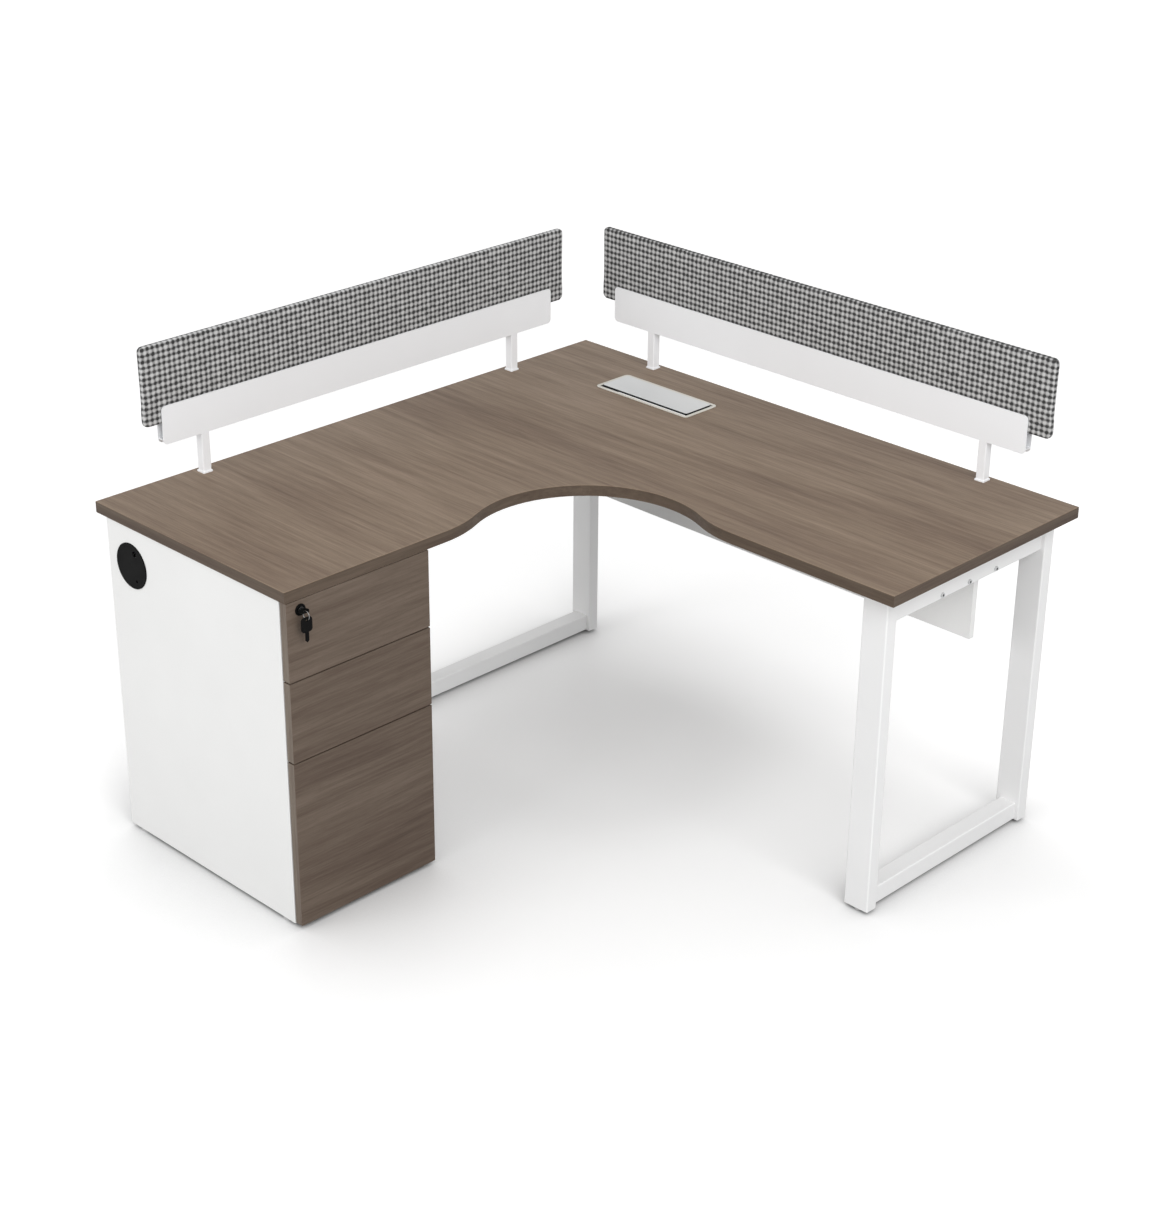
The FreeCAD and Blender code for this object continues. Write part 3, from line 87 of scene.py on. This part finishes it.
def add(tree, kind, inputs=None, **settings):
    """A new shader node; sockets are linked to its inputs, other values are set on them."""
    item = tree.nodes.new(kind)
    for key, value in settings.items():
        setattr(item, key, value)
    for key, value in (inputs or {}).items():
        if isinstance(value, bpy.types.NodeSocket):
            tree.links.new(value, item.inputs[key])
        else:
            item.inputs[key].default_value = value
    return item


def calc(tree, operation, first, second=0.0, third=0.0):
    item = add(tree, "ShaderNodeMath", {0: first, 1: second, 2: third}, operation=operation)
    return item.outputs[0]


def fade(tree, value, start, end):
    """0 below start, 1 above end, eased between."""
    item = add(tree, "ShaderNodeMapRange", {"Value": value, "From Min": start, "From Max": end},
               interpolation_type="SMOOTHSTEP")
    return item.outputs["Result"]


def spread(tree, value, source, target):
    """A number that runs over the target range while the value runs over the source range."""
    item = add(tree, "ShaderNodeMapRange", {"Value": value, "From Min": source[0], "From Max": source[1],
                                            "To Min": target[0], "To Max": target[1]})
    return item.outputs["Result"]


def blend_number(tree, share, first, second):
    item = add(tree, "ShaderNodeMix", {0: share, 2: first, 3: second}, data_type="FLOAT")
    return item.outputs[0]


def blend_vector(tree, share, first, second):
    item = add(tree, "ShaderNodeMix", {0: share, 4: first, 5: second}, data_type="VECTOR")
    return item.outputs[1]


def blend_colour(tree, share, first, second, mode="MIX"):
    item = add(tree, "ShaderNodeMix", {0: share, 6: first, 7: second}, data_type="RGBA", blend_type=mode)
    return item.outputs[2]


def ramp(tree, value, stops):
    item = add(tree, "ShaderNodeValToRGB", {"Fac": value})
    points = item.color_ramp.elements
    while len(points) < len(stops):
        points.new(0.5)
    for point, (place, colour) in zip(points, stops):
        point.position = place
        point.color = colour
    return item.outputs["Color"]


def two_tone(tree, value, dark, light):
    """Dark to light over the range of a noise."""
    return ramp(tree, value, list(zip(NOISE_RANGE, (dark, light))))


def noise(tree, vector, stretch, detail=3.0, roughness=0.5):
    """Noise whose grains are 1 / stretch metres long on each axis."""
    mapped = add(tree, "ShaderNodeMapping", {"Vector": vector, "Scale": stretch})
    item = add(tree, "ShaderNodeTexNoise", {
        "Vector": mapped.outputs[0], "Scale": 1.0, "Detail": detail, "Roughness": roughness})
    return item.outputs[0]


def split(tree, vector):
    """The three parts of a vector."""
    item = add(tree, "ShaderNodeSeparateXYZ", {0: vector})
    return [item.outputs[i] for i in range(3)]


def surface_place(tree):
    """Place on the piece."""
    return add(tree, "ShaderNodeTexCoord").outputs["Object"]


def surface_facing(tree):
    """Size of each part of the surface normal."""
    normal = split(tree, add(tree, "ShaderNodeTexCoord").outputs["Normal"])
    return [calc(tree, "ABSOLUTE", part) for part in normal]


def reorder(tree, vector, order):
    """The vector with its parts in the order of the letters."""
    parts = split(tree, vector)
    sockets = [parts["xyz".index(letter)] for letter in order]
    return add(tree, "ShaderNodeCombineXYZ", dict(enumerate(sockets))).outputs[0]


def relief(tree, shader, height, depth, strength=1.0):
    item = add(tree, "ShaderNodeBump", {"Height": height, "Distance": depth, "Strength": strength})
    tree.links.new(item.outputs[0], shader.inputs["Normal"])


def feed(tree, shader, **sockets):
    for key, socket in sockets.items():
        tree.links.new(socket, shader.inputs[key.replace("_", " ")])


def seen_directly(tree):
    """1 for rays from the camera and for those that it sees in gloss or glass, 0 for bounced light."""
    path = add(tree, "ShaderNodeLightPath")
    seen = calc(tree, "MAXIMUM", path.outputs["Is Camera Ray"], path.outputs["Is Glossy Ray"])
    return calc(tree, "MAXIMUM", seen, path.outputs["Is Transmission Ray"])


# Laminate: stretch of each layer of the grain, along it and across it, and the layer's share of the tone

SWAY_GRAIN = (1.7, 6.0, 6.0)
SWAY_REACH = (0.0, 0.02, 0.02)
BOARD_GRAIN = (0.9, 8.0, 8.0)
BOARD_SHARE = 0.4
BAND_GRAIN = (3.2, 62.0, 62.0)
BAND_SHARE = 0.46
STREAK_GRAIN = (9.0, 240.0, 240.0)
STREAK_SHARE = 0.34
FIBRE_GRAIN = (34.0, 1500.0, 1500.0)
FIBRE_SHARE = 0.2
PORE_GRAIN = (55.0, 1700.0, 1700.0)
PORE_EDGE = (0.62, 0.74)
PORE_SHARE = 0.35
TONE_STOPS = (0.5, 0.63, 0.72, 0.86)
ARRIS_START = (0.2, 0.4)
ARRIS_END = (0.8, 0.97)
ARRIS_HIGHLIGHT_SHARE = 0.3
WOOD_GLOSS = ((0.5, 0.9), (0.6, 0.5))
WOOD_SPECULAR = 0.25
FIBRE_HEIGHT = 0.6
PORE_DEPTH = 0.8
WOOD_DEPTH = 0.00012
WOOD_RELIEF = 0.6


def wood(name, tones, along, turned, turned_axis, edge_axis, painted_edge_light):
    """Laminate with long streaks. The grain follows the first letter of along, and of turned on
    faces that look along turned_axis. Upright faces that look away from edge_axis are tinted by the edge
    colour, painted shade where it darkens them and painted light where it lightens them; rounded arrises
    get a painted highlight in the lightest tone."""
    material, tree, shader = new_material(name)
    place = surface_place(tree)
    facing = surface_facing(tree)
    switch = calc(tree, "GREATER_THAN", facing[turned_axis], FACE_ON)
    grain = blend_vector(tree, switch, reorder(tree, place, along), reorder(tree, place, turned))
    sway = noise(tree, grain, SWAY_GRAIN, 2.0)
    bend = add(tree, "ShaderNodeCombineXYZ", {1: sway, 2: sway})
    bent = add(tree, "ShaderNodeVectorMath", {0: bend.outputs[0], 1: SWAY_REACH, 2: grain},
               operation="MULTIPLY_ADD").outputs[0]
    boards = noise(tree, bent, BOARD_GRAIN, 2.0)
    bands = noise(tree, bent, BAND_GRAIN, 4.0, 0.55)
    streaks = noise(tree, bent, STREAK_GRAIN, 4.0, 0.6)
    fibres = noise(tree, bent, FIBRE_GRAIN, 3.0, 0.6)
    tone = calc(tree, "MULTIPLY", boards, BOARD_SHARE)
    for layer, share in ((bands, BAND_SHARE), (streaks, STREAK_SHARE), (fibres, FIBRE_SHARE)):
        tone = calc(tree, "MULTIPLY_ADD", layer, share, tone)
    colour = ramp(tree, tone, list(zip(TONE_STOPS, tones)))
    pores = fade(tree, noise(tree, bent, PORE_GRAIN, 1.0, 0.4), *PORE_EDGE)
    colour = blend_colour(tree, calc(tree, "MULTIPLY", pores, PORE_SHARE), colour, tones[0])
    # Edge faces get the edge colour multiplied in: painted shade on the worktop's edges, painted light on
    # the drawer fronts' side edges.
    painted_edge = calc(tree, "MULTIPLY", calc(tree, "LESS_THAN", facing[edge_axis], EDGE_ON),
                calc(tree, "LESS_THAN", facing[2], FACE_ON))
    colour = blend_colour(tree, painted_edge, colour, painted_edge_light, "MULTIPLY")
    # Faces turning between two sides, on rounded arrises, are lightened towards the lightest tone: a painted
    # highlight.
    arris_highlight = calc(tree, "MULTIPLY", fade(tree, facing[edge_axis], *ARRIS_START),
                 calc(tree, "SUBTRACT", 1.0, fade(tree, facing[edge_axis], *ARRIS_END)))
    colour = blend_colour(tree, calc(tree, "MULTIPLY", arris_highlight, ARRIS_HIGHLIGHT_SHARE), colour, tones[3])
    feed(tree, shader, Base_Color=colour, Roughness=spread(tree, tone, *WOOD_GLOSS))
    shader.inputs["Specular IOR Level"].default_value = WOOD_SPECULAR
    height = calc(tree, "SUBTRACT", calc(tree, "MULTIPLY", fibres, FIBRE_HEIGHT),
                  calc(tree, "MULTIPLY", pores, PORE_DEPTH))
    relief(tree, shader, height, WOOD_DEPTH, WOOD_RELIEF)
    return material


# Coats, plastics and metals

RIM_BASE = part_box("worktop")[1].z + 0.0003
RIM_GRAIN = (1700.0, 1700.0, 1700.0)
RIM_CLOUDS = (20.0, 20.0, 20.0)
RIM_GLOSS = (0.42, 0.55)
RIM_DEPTH = 0.00003
LID_LINES = (5.0, 1100.0, 1100.0)
LID_CLOUDS = (7.0, 7.0, 7.0)
LID_GLOSS = (0.38, 0.5)
LID_METAL = 0.35
LID_DEPTH = 0.00002
BOLT_GRAIN = (900.0, 900.0, 900.0)
BOLT_GLOSS = (0.35, 0.55)
BOLT_METAL = 0.3
BOLT_DEPTH = 0.00002
SOCKET_SHADE_SHARE = 0.55
BRUSHED_CLOUDS = (9.0, 9.0, 9.0)


def mottled(name, light, dark, patch, grain_size, gloss, depth, specular=0.5):
    """Even coat with faint clouding and a fine surface texture."""
    material, tree, shader = new_material(name)
    place = surface_place(tree)
    clouds = noise(tree, place, (1 / patch,) * 3, 3.0, 0.6)
    fine = noise(tree, place, (1 / grain_size,) * 3, 2.0)
    share = calc(tree, "MULTIPLY_ADD", fine, 0.35, calc(tree, "MULTIPLY", clouds, 0.65))
    feed(tree, shader, Base_Color=two_tone(tree, share, linear(dark), linear(light)),
         Roughness=spread(tree, share, NOISE_RANGE, gloss))
    shader.inputs["Specular IOR Level"].default_value = specular
    relief(tree, shader, fine, depth)
    return material


def brushed(name, light, dark, stretch, gloss, depth):
    """Metal with fine lines drawn along the axis of the smallest stretch."""
    material, tree, shader = new_material(name)
    place = surface_place(tree)
    lines = noise(tree, place, stretch, 3.0, 0.7)
    clouds = noise(tree, place, BRUSHED_CLOUDS, 2.0)
    share = calc(tree, "MULTIPLY_ADD", lines, 0.6, calc(tree, "MULTIPLY", clouds, 0.4))
    feed(tree, shader, Base_Color=two_tone(tree, share, linear(dark), linear(light)),
         Roughness=spread(tree, lines, NOISE_RANGE, gloss))
    shader.inputs["Metallic"].default_value = 1.0
    relief(tree, shader, lines, depth)
    return material


def port_plastic(name):
    """Beige rim of the cable port; its sunk walls are painted near black, painted shade inside the port."""
    material, tree, shader = new_material(name)
    place = surface_place(tree)
    fine = noise(tree, place, RIM_GRAIN, 2.0)
    clouds = noise(tree, place, RIM_CLOUDS)
    rim = two_tone(tree, clouds, linear("cfccc3"), linear("dad7cf"))
    # Near black below the rim: painted shade in the port's well.
    well_shade = two_tone(tree, clouds, linear("101010"), linear("181818"))
    sunk = calc(tree, "LESS_THAN", split(tree, place)[2], RIM_BASE)
    feed(tree, shader, Base_Color=blend_colour(tree, sunk, rim, well_shade),
         Roughness=spread(tree, fine, (0.0, 1.0), RIM_GLOSS))
    relief(tree, shader, fine, RIM_DEPTH)
    return material


def port_lid(name):
    """Satin silver plate brushed along its length; its edge faces are painted near black, a painted shadow
    for the gap under the lid.
    """
    material, tree, shader = new_material(name)
    place = surface_place(tree)
    lines = noise(tree, place, LID_LINES, 3.0, 0.7)
    clouds = noise(tree, place, LID_CLOUDS, 2.0)
    share = calc(tree, "MULTIPLY_ADD", lines, 0.5, calc(tree, "MULTIPLY", clouds, 0.5))
    plate = two_tone(tree, share, linear("d4d6d7"), linear("dfdfde"))
    # Edge faces near black and not metallic: painted shadow of the gap under the lid.
    edge = calc(tree, "LESS_THAN", surface_facing(tree)[2], 0.5)
    feed(tree, shader, Base_Color=blend_colour(tree, edge, plate, linear("151515")),
         Roughness=spread(tree, lines, NOISE_RANGE, LID_GLOSS),
         Metallic=calc(tree, "MULTIPLY", calc(tree, "SUBTRACT", 1.0, edge), LID_METAL))
    relief(tree, shader, lines, LID_DEPTH)
    return material


def bolt_metal(name, node):
    """Zinc heads, with painted shade in the middle for a drive hole; the three heads stand in a level row.
    """
    material, tree, shader = new_material(name)
    place = surface_place(tree)
    low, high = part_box(node)
    radius = (high.z - low.z) / 2
    pitch = (high.y - low.y - 2 * radius) / 2
    parts = split(tree, place)
    along = calc(tree, "PINGPONG", calc(tree, "SUBTRACT", parts[1], low.y + radius), pitch / 2)
    rise = calc(tree, "SUBTRACT", parts[2], low.z + radius)
    off_axis = calc(tree, "SQRT", calc(tree, "MULTIPLY_ADD", along, along,
                                       calc(tree, "MULTIPLY", rise, rise)))
    grain = noise(tree, place, BOLT_GRAIN, 2.0)
    zinc = two_tone(tree, grain, linear("bcbebf"), linear("d2d3d4"))
    # A dark disc in the middle of each head: painted shade where a drive hole would be.
    socket = calc(tree, "LESS_THAN", off_axis, radius * SOCKET_SHADE_SHARE)
    feed(tree, shader, Base_Color=blend_colour(tree, socket, zinc, linear("303030")),
         Roughness=spread(tree, grain, (0.0, 1.0), BOLT_GLOSS))
    shader.inputs["Metallic"].default_value = BOLT_METAL
    relief(tree, shader, grain, BOLT_DEPTH)
    return material


# Woven cloth: size of a cell, stretch of the yarns in cells, and what each layer adds to the lightness

CELL = 0.0125
YARN_DRIFT = (0.42, 0.36, 0.0)
DRIFT_SCALE = 0.9
RUN_YARN = (3.0, 16.0, 1.0)
RISE_YARN = (16.0, 3.0, 1.0)
PATCH_SCALE = (0.7, 0.7, 0.7)
GROUND_LIGHT = 0.41
HOLLOW_SHADE = 0.46
KNOT_HIGHLIGHT = 0.42
RISE_LIGHT = 0.14
YARN_LIGHT = 0.7
PATCH_LIGHT = 0.5
CLOTH_STOPS = ((0.0, linear("343434")), (0.45, linear("848484")), (0.9, linear("bcbcbc")),
               (1.0, linear("cccccc")))
YARN_HEIGHT = 0.25
CLOTH_DEPTH = 0.0012


def weave_start(node, thick):
    """A point of the panel where the weave has a knot: on its top edge, half a cell off its middle plane."""
    low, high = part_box(node)
    start = (low + high) / 2
    start[thick] += CELL / 2
    start.z = high.z
    return start


def woven(name, node, run, thick):
    """Coarse basket weave: light yarns that cross over dark ones, one knot in each cell. The knots are
    lighter and the hollows darker than the yarns alone make them: painted highlight and painted shade.
    run and thick are the axes along the panel and through it."""
    material, tree, shader = new_material(name)
    facing = surface_facing(tree)
    place = add(tree, "ShaderNodeVectorMath", {0: surface_place(tree), 1: weave_start(node, thick)},
                operation="SUBTRACT").outputs[0]
    parts = split(tree, place)
    on_end = calc(tree, "GREATER_THAN", facing[run], FACE_ON)
    on_top = calc(tree, "GREATER_THAN", facing[2], FACE_ON)
    side = calc(tree, "DIVIDE", blend_number(tree, on_end, parts[run], parts[thick]), CELL)
    up = calc(tree, "DIVIDE", blend_number(tree, on_top, parts[2], parts[thick]), CELL)
    flat = add(tree, "ShaderNodeCombineXYZ", {0: side, 1: up}).outputs[0]
    drift = add(tree, "ShaderNodeTexNoise", {"Vector": flat, "Scale": DRIFT_SCALE, "Detail": 2.0})
    shifted = add(tree, "ShaderNodeVectorMath", {0: drift.outputs["Color"], 1: YARN_DRIFT, 2: flat},
                  operation="MULTIPLY_ADD").outputs[0]
    waves = []
    for turns in split(tree, shifted)[:2]:
        angle = calc(tree, "MULTIPLY", turns, math.tau)
        waves.append(calc(tree, "MULTIPLY_ADD", calc(tree, "COSINE", angle), 0.5, 0.5))
    hollow = calc(tree, "MULTIPLY", calc(tree, "SUBTRACT", 1.0, waves[0]),
                  calc(tree, "SUBTRACT", 1.0, waves[1]))
    ridge = calc(tree, "MULTIPLY", waves[0], waves[1])
    over = fade(tree, calc(tree, "SUBTRACT", waves[0], waves[1]), -0.2, 0.2)
    yarn = blend_number(tree, over, noise(tree, flat, RUN_YARN), noise(tree, flat, RISE_YARN))
    patches = noise(tree, flat, PATCH_SCALE, 1.0)
    # Hollows between knots darkened (painted shade) and knots lightened (painted highlight), on top of the
    # yarn colours.
    light = calc(tree, "MULTIPLY_ADD", fade(tree, hollow, 0.08, 0.6), -HOLLOW_SHADE, GROUND_LIGHT)
    for layer, share in ((fade(tree, ridge, 0.0, 0.75), KNOT_HIGHLIGHT),
                         (fade(tree, waves[1], 0.0, 0.5), RISE_LIGHT),
                         (calc(tree, "SUBTRACT", yarn, 0.5), YARN_LIGHT),
                         (calc(tree, "SUBTRACT", patches, 0.5), PATCH_LIGHT)):
        light = calc(tree, "MULTIPLY_ADD", layer, share, light)
    feed(tree, shader, Base_Color=ramp(tree, light, CLOTH_STOPS))
    shader.inputs["Roughness"].default_value = 0.9
    shader.inputs["Specular IOR Level"].default_value = 0.2
    shader.inputs["Sheen Weight"].default_value = 0.15
    shader.inputs["Sheen Roughness"].default_value = 0.5
    height = calc(tree, "MULTIPLY_ADD", yarn, YARN_HEIGHT, calc(tree, "SUBTRACT", 1.0, hollow))
    relief(tree, shader, height, CLOTH_DEPTH)
    return material


# Which finish goes on which piece

top_tones = [linear(code) for code in ("665649", "776556", "81705f", "917e6d")]
# The drawer fronts use the worktop's laminate in darker tones: painted shade for upright faces.
front_shaded_tones = [linear(code) for code in ("4d4037", "594b41", "615449", "6e6055")]
# Worktop edges multiplied darker than the top: painted shade.
top_edge_painted_shade = (0.41, 0.4, 0.4, 1.0)
# Side edges of the drawer fronts multiplied lighter: painted light.
front_edge_painted_light = (1.45, 1.6, 1.7, 1.0)
# Light and dark tone, size of the clouding and of the texture, range of roughness, depth, specular level
coats = {
    "white_board": ("eeeeed", "e9e9e8", 0.3, 0.0016, (0.48, 0.4), 0.00006),
    "drawer_board": ("dcdcda", "d3d3d1", 0.2, 0.0016, (0.55, 0.45), 0.00006),
    "white_paint": ("efefef", "eaeaea", 0.25, 0.0011, (0.42, 0.34), 0.00005),
    "grey_plastic": ("bfbfbf", "b2b2b2", 0.03, 0.0007, (0.6, 0.5), 0.00005),
    "black_metal": ("080808", "050505", 0.02, 0.0005, (0.5, 0.4), 0.00002, 0.05),
    "key_metal": ("080808", "050505", 0.01, 0.0004, (0.55, 0.45), 0.00002, 0.05),
    "black_plastic": ("121212", "0d0d0d", 0.03, 0.0006, (0.6, 0.5), 0.00004, 0.04),
    # channel_metal is a little lighter than white_paint: painted light for the divider channels, which get
    # less light.
    "channel_metal": ("f4f5f7", "eff0f2", 0.25, 0.0010, (0.44, 0.36), 0.00004),
}
# Light and dark tone, stretch of the lines, range of roughness, depth
metals = {
    "steel": ("c9cacb", "b4b5b7", (8.0, 700.0, 700.0), (0.3, 0.42), 0.00002),
    "lock_steel": ("8c8c8c", "747474", (700.0, 60.0, 60.0), (0.25, 0.35), 0.00001),
}
finish = {
    "top_wood": wood("top_wood", top_tones, "xyz", "yxz", 0, 2, top_edge_painted_shade),
    "front_wood": wood("front_wood", front_shaded_tones, "yxz", "zxy", 1, 0, front_edge_painted_light),
    "port_trim": port_plastic("port_trim"),
    "port_metal": port_lid("port_metal"),
    "screen_fabric": woven("end_screen_fabric", "end_divider_panel", 0, 1),
}
for name, values in coats.items():
    finish[name] = mottled(name, *values)
for name, values in metals.items():
    finish[name] = brushed(name, *values)
for part in frame["record"]["subparts"]:
    for slot in nodes[part["node"]].material_slots:
        slot.material = finish[part["material_slot"]]
for slot in nodes["beam_bolts"].material_slots:
    slot.material = bolt_metal("bolt_metal", "beam_bolts")


# Screens: a padded board with a stretched woven cover

SHRINK = 0.0012
SHELL_CELL = 0.004
SWELL = 0.0014
SWELL_STEPS = 20
SWELL_PRESSURE = 4.0
CHANNEL_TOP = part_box("end_divider_channel")[1].z
WEAVE_DEPTH = 0.0005


def evaluated_mesh(item):
    graph = bpy.context.evaluated_depsgraph_get()
    return bpy.data.meshes.new_from_object(item.evaluated_get(graph))


def bake_modifiers(item):
    mesh = evaluated_mesh(item)
    item.modifiers.clear()
    item.data = mesh


def swell(pad):
    """Blow the cover up a little, held where the channel clamps it."""
    rest = [v.co.copy() for v in pad.data.vertices]
    held = pad.vertex_groups.new(name="held")
    held.add([v.index for v in pad.data.vertices if v.co.z < CHANNEL_TOP], 1.0, "REPLACE")
    cloth = pad.modifiers.new("Cloth", "CLOTH")
    cloth.settings.quality = 4
    cloth.settings.use_pressure = True
    cloth.settings.uniform_pressure_force = SWELL_PRESSURE
    cloth.settings.vertex_group_mass = "held"
    cloth.settings.effector_weights.gravity = 0.0
    for step in range(1, SWELL_STEPS + 1):
        scene.frame_set(step)
    moved = [v.co.copy() for v in evaluated_mesh(pad).vertices]
    pad.modifiers.clear()
    scene.frame_set(1)
    for vertex, old, new in zip(pad.data.vertices, rest, moved):
        shift = new - old
        if shift.length > SWELL:
            shift *= SWELL / shift.length
        vertex.co = old + shift


def trough(length):
    """0 on a knot of the weave, 1 halfway to the next one."""
    return 0.5 - 0.5 * math.cos(math.tau * length / CELL)


def knots(pad, start, run, thick):
    """Sink the cover between the weave's knots."""
    lifts = []
    for vertex in pad.data.vertices:
        normal = vertex.normal
        place = vertex.co - start
        side = place[thick] if abs(normal[run]) > FACE_ON else place[run]
        up = place[thick] if abs(normal.z) > FACE_ON else place.z
        lifts.append(normal * (-WEAVE_DEPTH * trough(side) * trough(up)))
    for vertex, lift in zip(pad.data.vertices, lifts):
        vertex.co += lift


def screen(name, node, run, thick, material):
    low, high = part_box(node)
    pad = bpy.data.objects.new(name, nodes[node].data.copy())
    scene.collection.objects.link(pad)
    centre = (low + high) / 2
    for vertex in pad.data.vertices:
        for axis in range(3):
            half = (high[axis] - low[axis]) / 2
            vertex.co[axis] = centre[axis] + (vertex.co[axis] - centre[axis]) * (half - SHRINK) / half
    shell = pad.modifiers.new("Shell", "REMESH")
    shell.mode = "VOXEL"
    shell.voxel_size = SHELL_CELL
    bake_modifiers(pad)
    swell(pad)
    finer = pad.modifiers.new("Finer", "SUBSURF")
    finer.levels = 1
    bake_modifiers(pad)
    knots(pad, weave_start(node, thick), run, thick)
    pad.data.materials.clear()
    pad.data.materials.append(material)
    for face in pad.data.polygons:
        face.use_smooth = True
    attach(pad, "desk")
    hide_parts(node)


side_fabric = woven("side_screen_fabric", "side_divider_panel", 1, 0)
screen("end_screen_cover", "end_divider_panel", 0, 1, finish["screen_fabric"])
screen("side_screen_cover", "side_divider_panel", 1, 0, side_fabric)


# Floor: white where it is seen, darker for bounced light so that the underside of the desk stays shaded.
# It glows a little, more with the distance from the shade under the desk and behind the outer edges;
# this glow is painted light. Near the desk, ambient occlusion darkens its seen colour and its glow: a
# painted contact shadow.

FLOOR_REACH = 30.0
FLOOR_CLOUDS = (0.6, 0.6, 0.6)
FLOOR_BOUNCED = (grey(0.43), grey(0.45))
FLOOR_SHOWN = (grey(0.96), grey(0.97))
CONTACT_SHADE_REACH = 0.4
CONTACT_SHADE_POWER = 0.45
SHADE_CENTRE = (-0.2, 0.25, 0.0)
NEAR_GLOW = 0.07
NEAR_RANGE = (0.25, 0.5)
OPEN_GLOW = 0.27
BEHIND_RANGE = (0.5, 1.0)
OPEN_RANGE = (1.6, 4.0)
FAR_GLOW = 0.16
FAR_RANGE = (3.0, 8.0)


def floor():
    mesh = bpy.data.meshes.new("floor")
    corners = [(x * FLOOR_REACH, y * FLOOR_REACH, 0) for x, y in ((-1, -1), (1, -1), (1, 1), (-1, 1))]
    mesh.from_pydata(corners, [], [(0, 1, 2, 3)])
    item = bpy.data.objects.new("floor", mesh)
    scene.collection.objects.link(item)
    material, tree, shader = new_material("floor")
    place = surface_place(tree)
    clouds = noise(tree, place, FLOOR_CLOUDS, 2.0)
    # Ambient occlusion darkens the floor's seen colour and glow near the desk: painted contact shadow.
    contact_shade = add(tree, "ShaderNodeAmbientOcclusion", {"Distance": CONTACT_SHADE_REACH}, samples=8).outputs["AO"]
    bounced = two_tone(tree, clouds, *FLOOR_BOUNCED)
    shown = blend_colour(tree, 1.0, two_tone(tree, clouds, *FLOOR_SHOWN),
                         calc(tree, "POWER", contact_shade, CONTACT_SHADE_POWER), "MULTIPLY")
    from_shade = add(tree, "ShaderNodeVectorMath", {0: place, 1: SHADE_CENTRE}, operation="SUBTRACT")
    away = add(tree, "ShaderNodeVectorMath", {0: from_shade.outputs[0]}, operation="LENGTH").outputs["Value"]
    parts = split(tree, place)
    behind = calc(tree, "MAXIMUM", parts[1], calc(tree, "MULTIPLY", parts[0], -1.0))
    open_floor = calc(tree, "MAXIMUM", fade(tree, behind, *BEHIND_RANGE), fade(tree, away, *OPEN_RANGE))
    # The glow is painted light, placed to set where the shade under the desk ends.
    glow = calc(tree, "MULTIPLY", fade(tree, away, *NEAR_RANGE), NEAR_GLOW)
    glow = calc(tree, "MULTIPLY_ADD", open_floor, OPEN_GLOW, glow)
    glow = calc(tree, "MULTIPLY_ADD", fade(tree, away, *FAR_RANGE), FAR_GLOW, glow)
    glow = calc(tree, "MULTIPLY", glow, contact_shade)
    seen = seen_directly(tree)
    feed(tree, shader, Base_Color=blend_colour(tree, seen, bounced, shown),
         Emission_Strength=calc(tree, "MULTIPLY", seen, glow))
    shader.inputs["Emission Color"].default_value = (1, 1, 1, 1)
    shader.inputs["Roughness"].default_value = 0.4
    shader.inputs["Specular IOR Level"].default_value = 0.25
    mesh.materials.append(material)


# Light and camera

WORLD_BOUNCED = 0.6
WORLD_SHOWN = 1.0
LAMP_AIM = Vector((0, 0, 0.6))
CAMERA_PLACE = (3.09609, -3.15318, 2.64779)
CAMERA_AZIMUTH = math.radians(44.53)
CAMERA_ELEVATION = math.radians(25.84)
CAMERA_ROLL = math.radians(0.52)
CAMERA_LENS = 70.48
CAMERA_REACH = 200


def world():
    sky = bpy.data.worlds.new("studio")
    sky.use_nodes = True
    tree = sky.node_tree
    light = tree.nodes["Background"]
    light.inputs["Color"].default_value = (1, 1, 1, 1)
    strength = blend_number(tree, seen_directly(tree), WORLD_BOUNCED, WORLD_SHOWN)
    tree.links.new(strength, light.inputs["Strength"])
    scene.world = sky


def softbox(name, place, size, power):
    light = bpy.data.lights.new(name, "AREA")
    light.shape = "RECTANGLE"
    light.size, light.size_y = size
    light.energy = power
    item = bpy.data.objects.new(name, light)
    item.location = place
    item.rotation_euler = (LAMP_AIM - Vector(place)).to_track_quat("-Z", "Y").to_euler()
    scene.collection.objects.link(item)


def camera():
    flat = math.cos(CAMERA_ELEVATION)
    ahead = Vector((-math.sin(CAMERA_AZIMUTH) * flat, math.cos(CAMERA_AZIMUTH) * flat,
                    -math.sin(CAMERA_ELEVATION)))
    level = Vector((math.cos(CAMERA_AZIMUTH), math.sin(CAMERA_AZIMUTH), 0))
    down = ahead.cross(level)
    right = level * math.cos(CAMERA_ROLL) - down * math.sin(CAMERA_ROLL)
    up = -(level * math.sin(CAMERA_ROLL) + down * math.cos(CAMERA_ROLL))
    data = bpy.data.cameras.new("camera")
    data.lens = CAMERA_LENS
    data.clip_end = CAMERA_REACH
    item = bpy.data.objects.new("camera", data)
    turn = Matrix((right, up, -ahead)).transposed().to_4x4()
    item.matrix_world = Matrix.Translation(CAMERA_PLACE) @ turn
    scene.collection.objects.link(item)
    scene.camera = item


floor()
world()
softbox("front_light", place=(4.0, -1.8, 3.5), size=(4.0, 3.0), power=170)
softbox("side_light", place=(-1.0, -5.0, 2.2), size=(4.0, 2.5), power=84)
camera()
scene.view_settings.view_transform = "Standard"
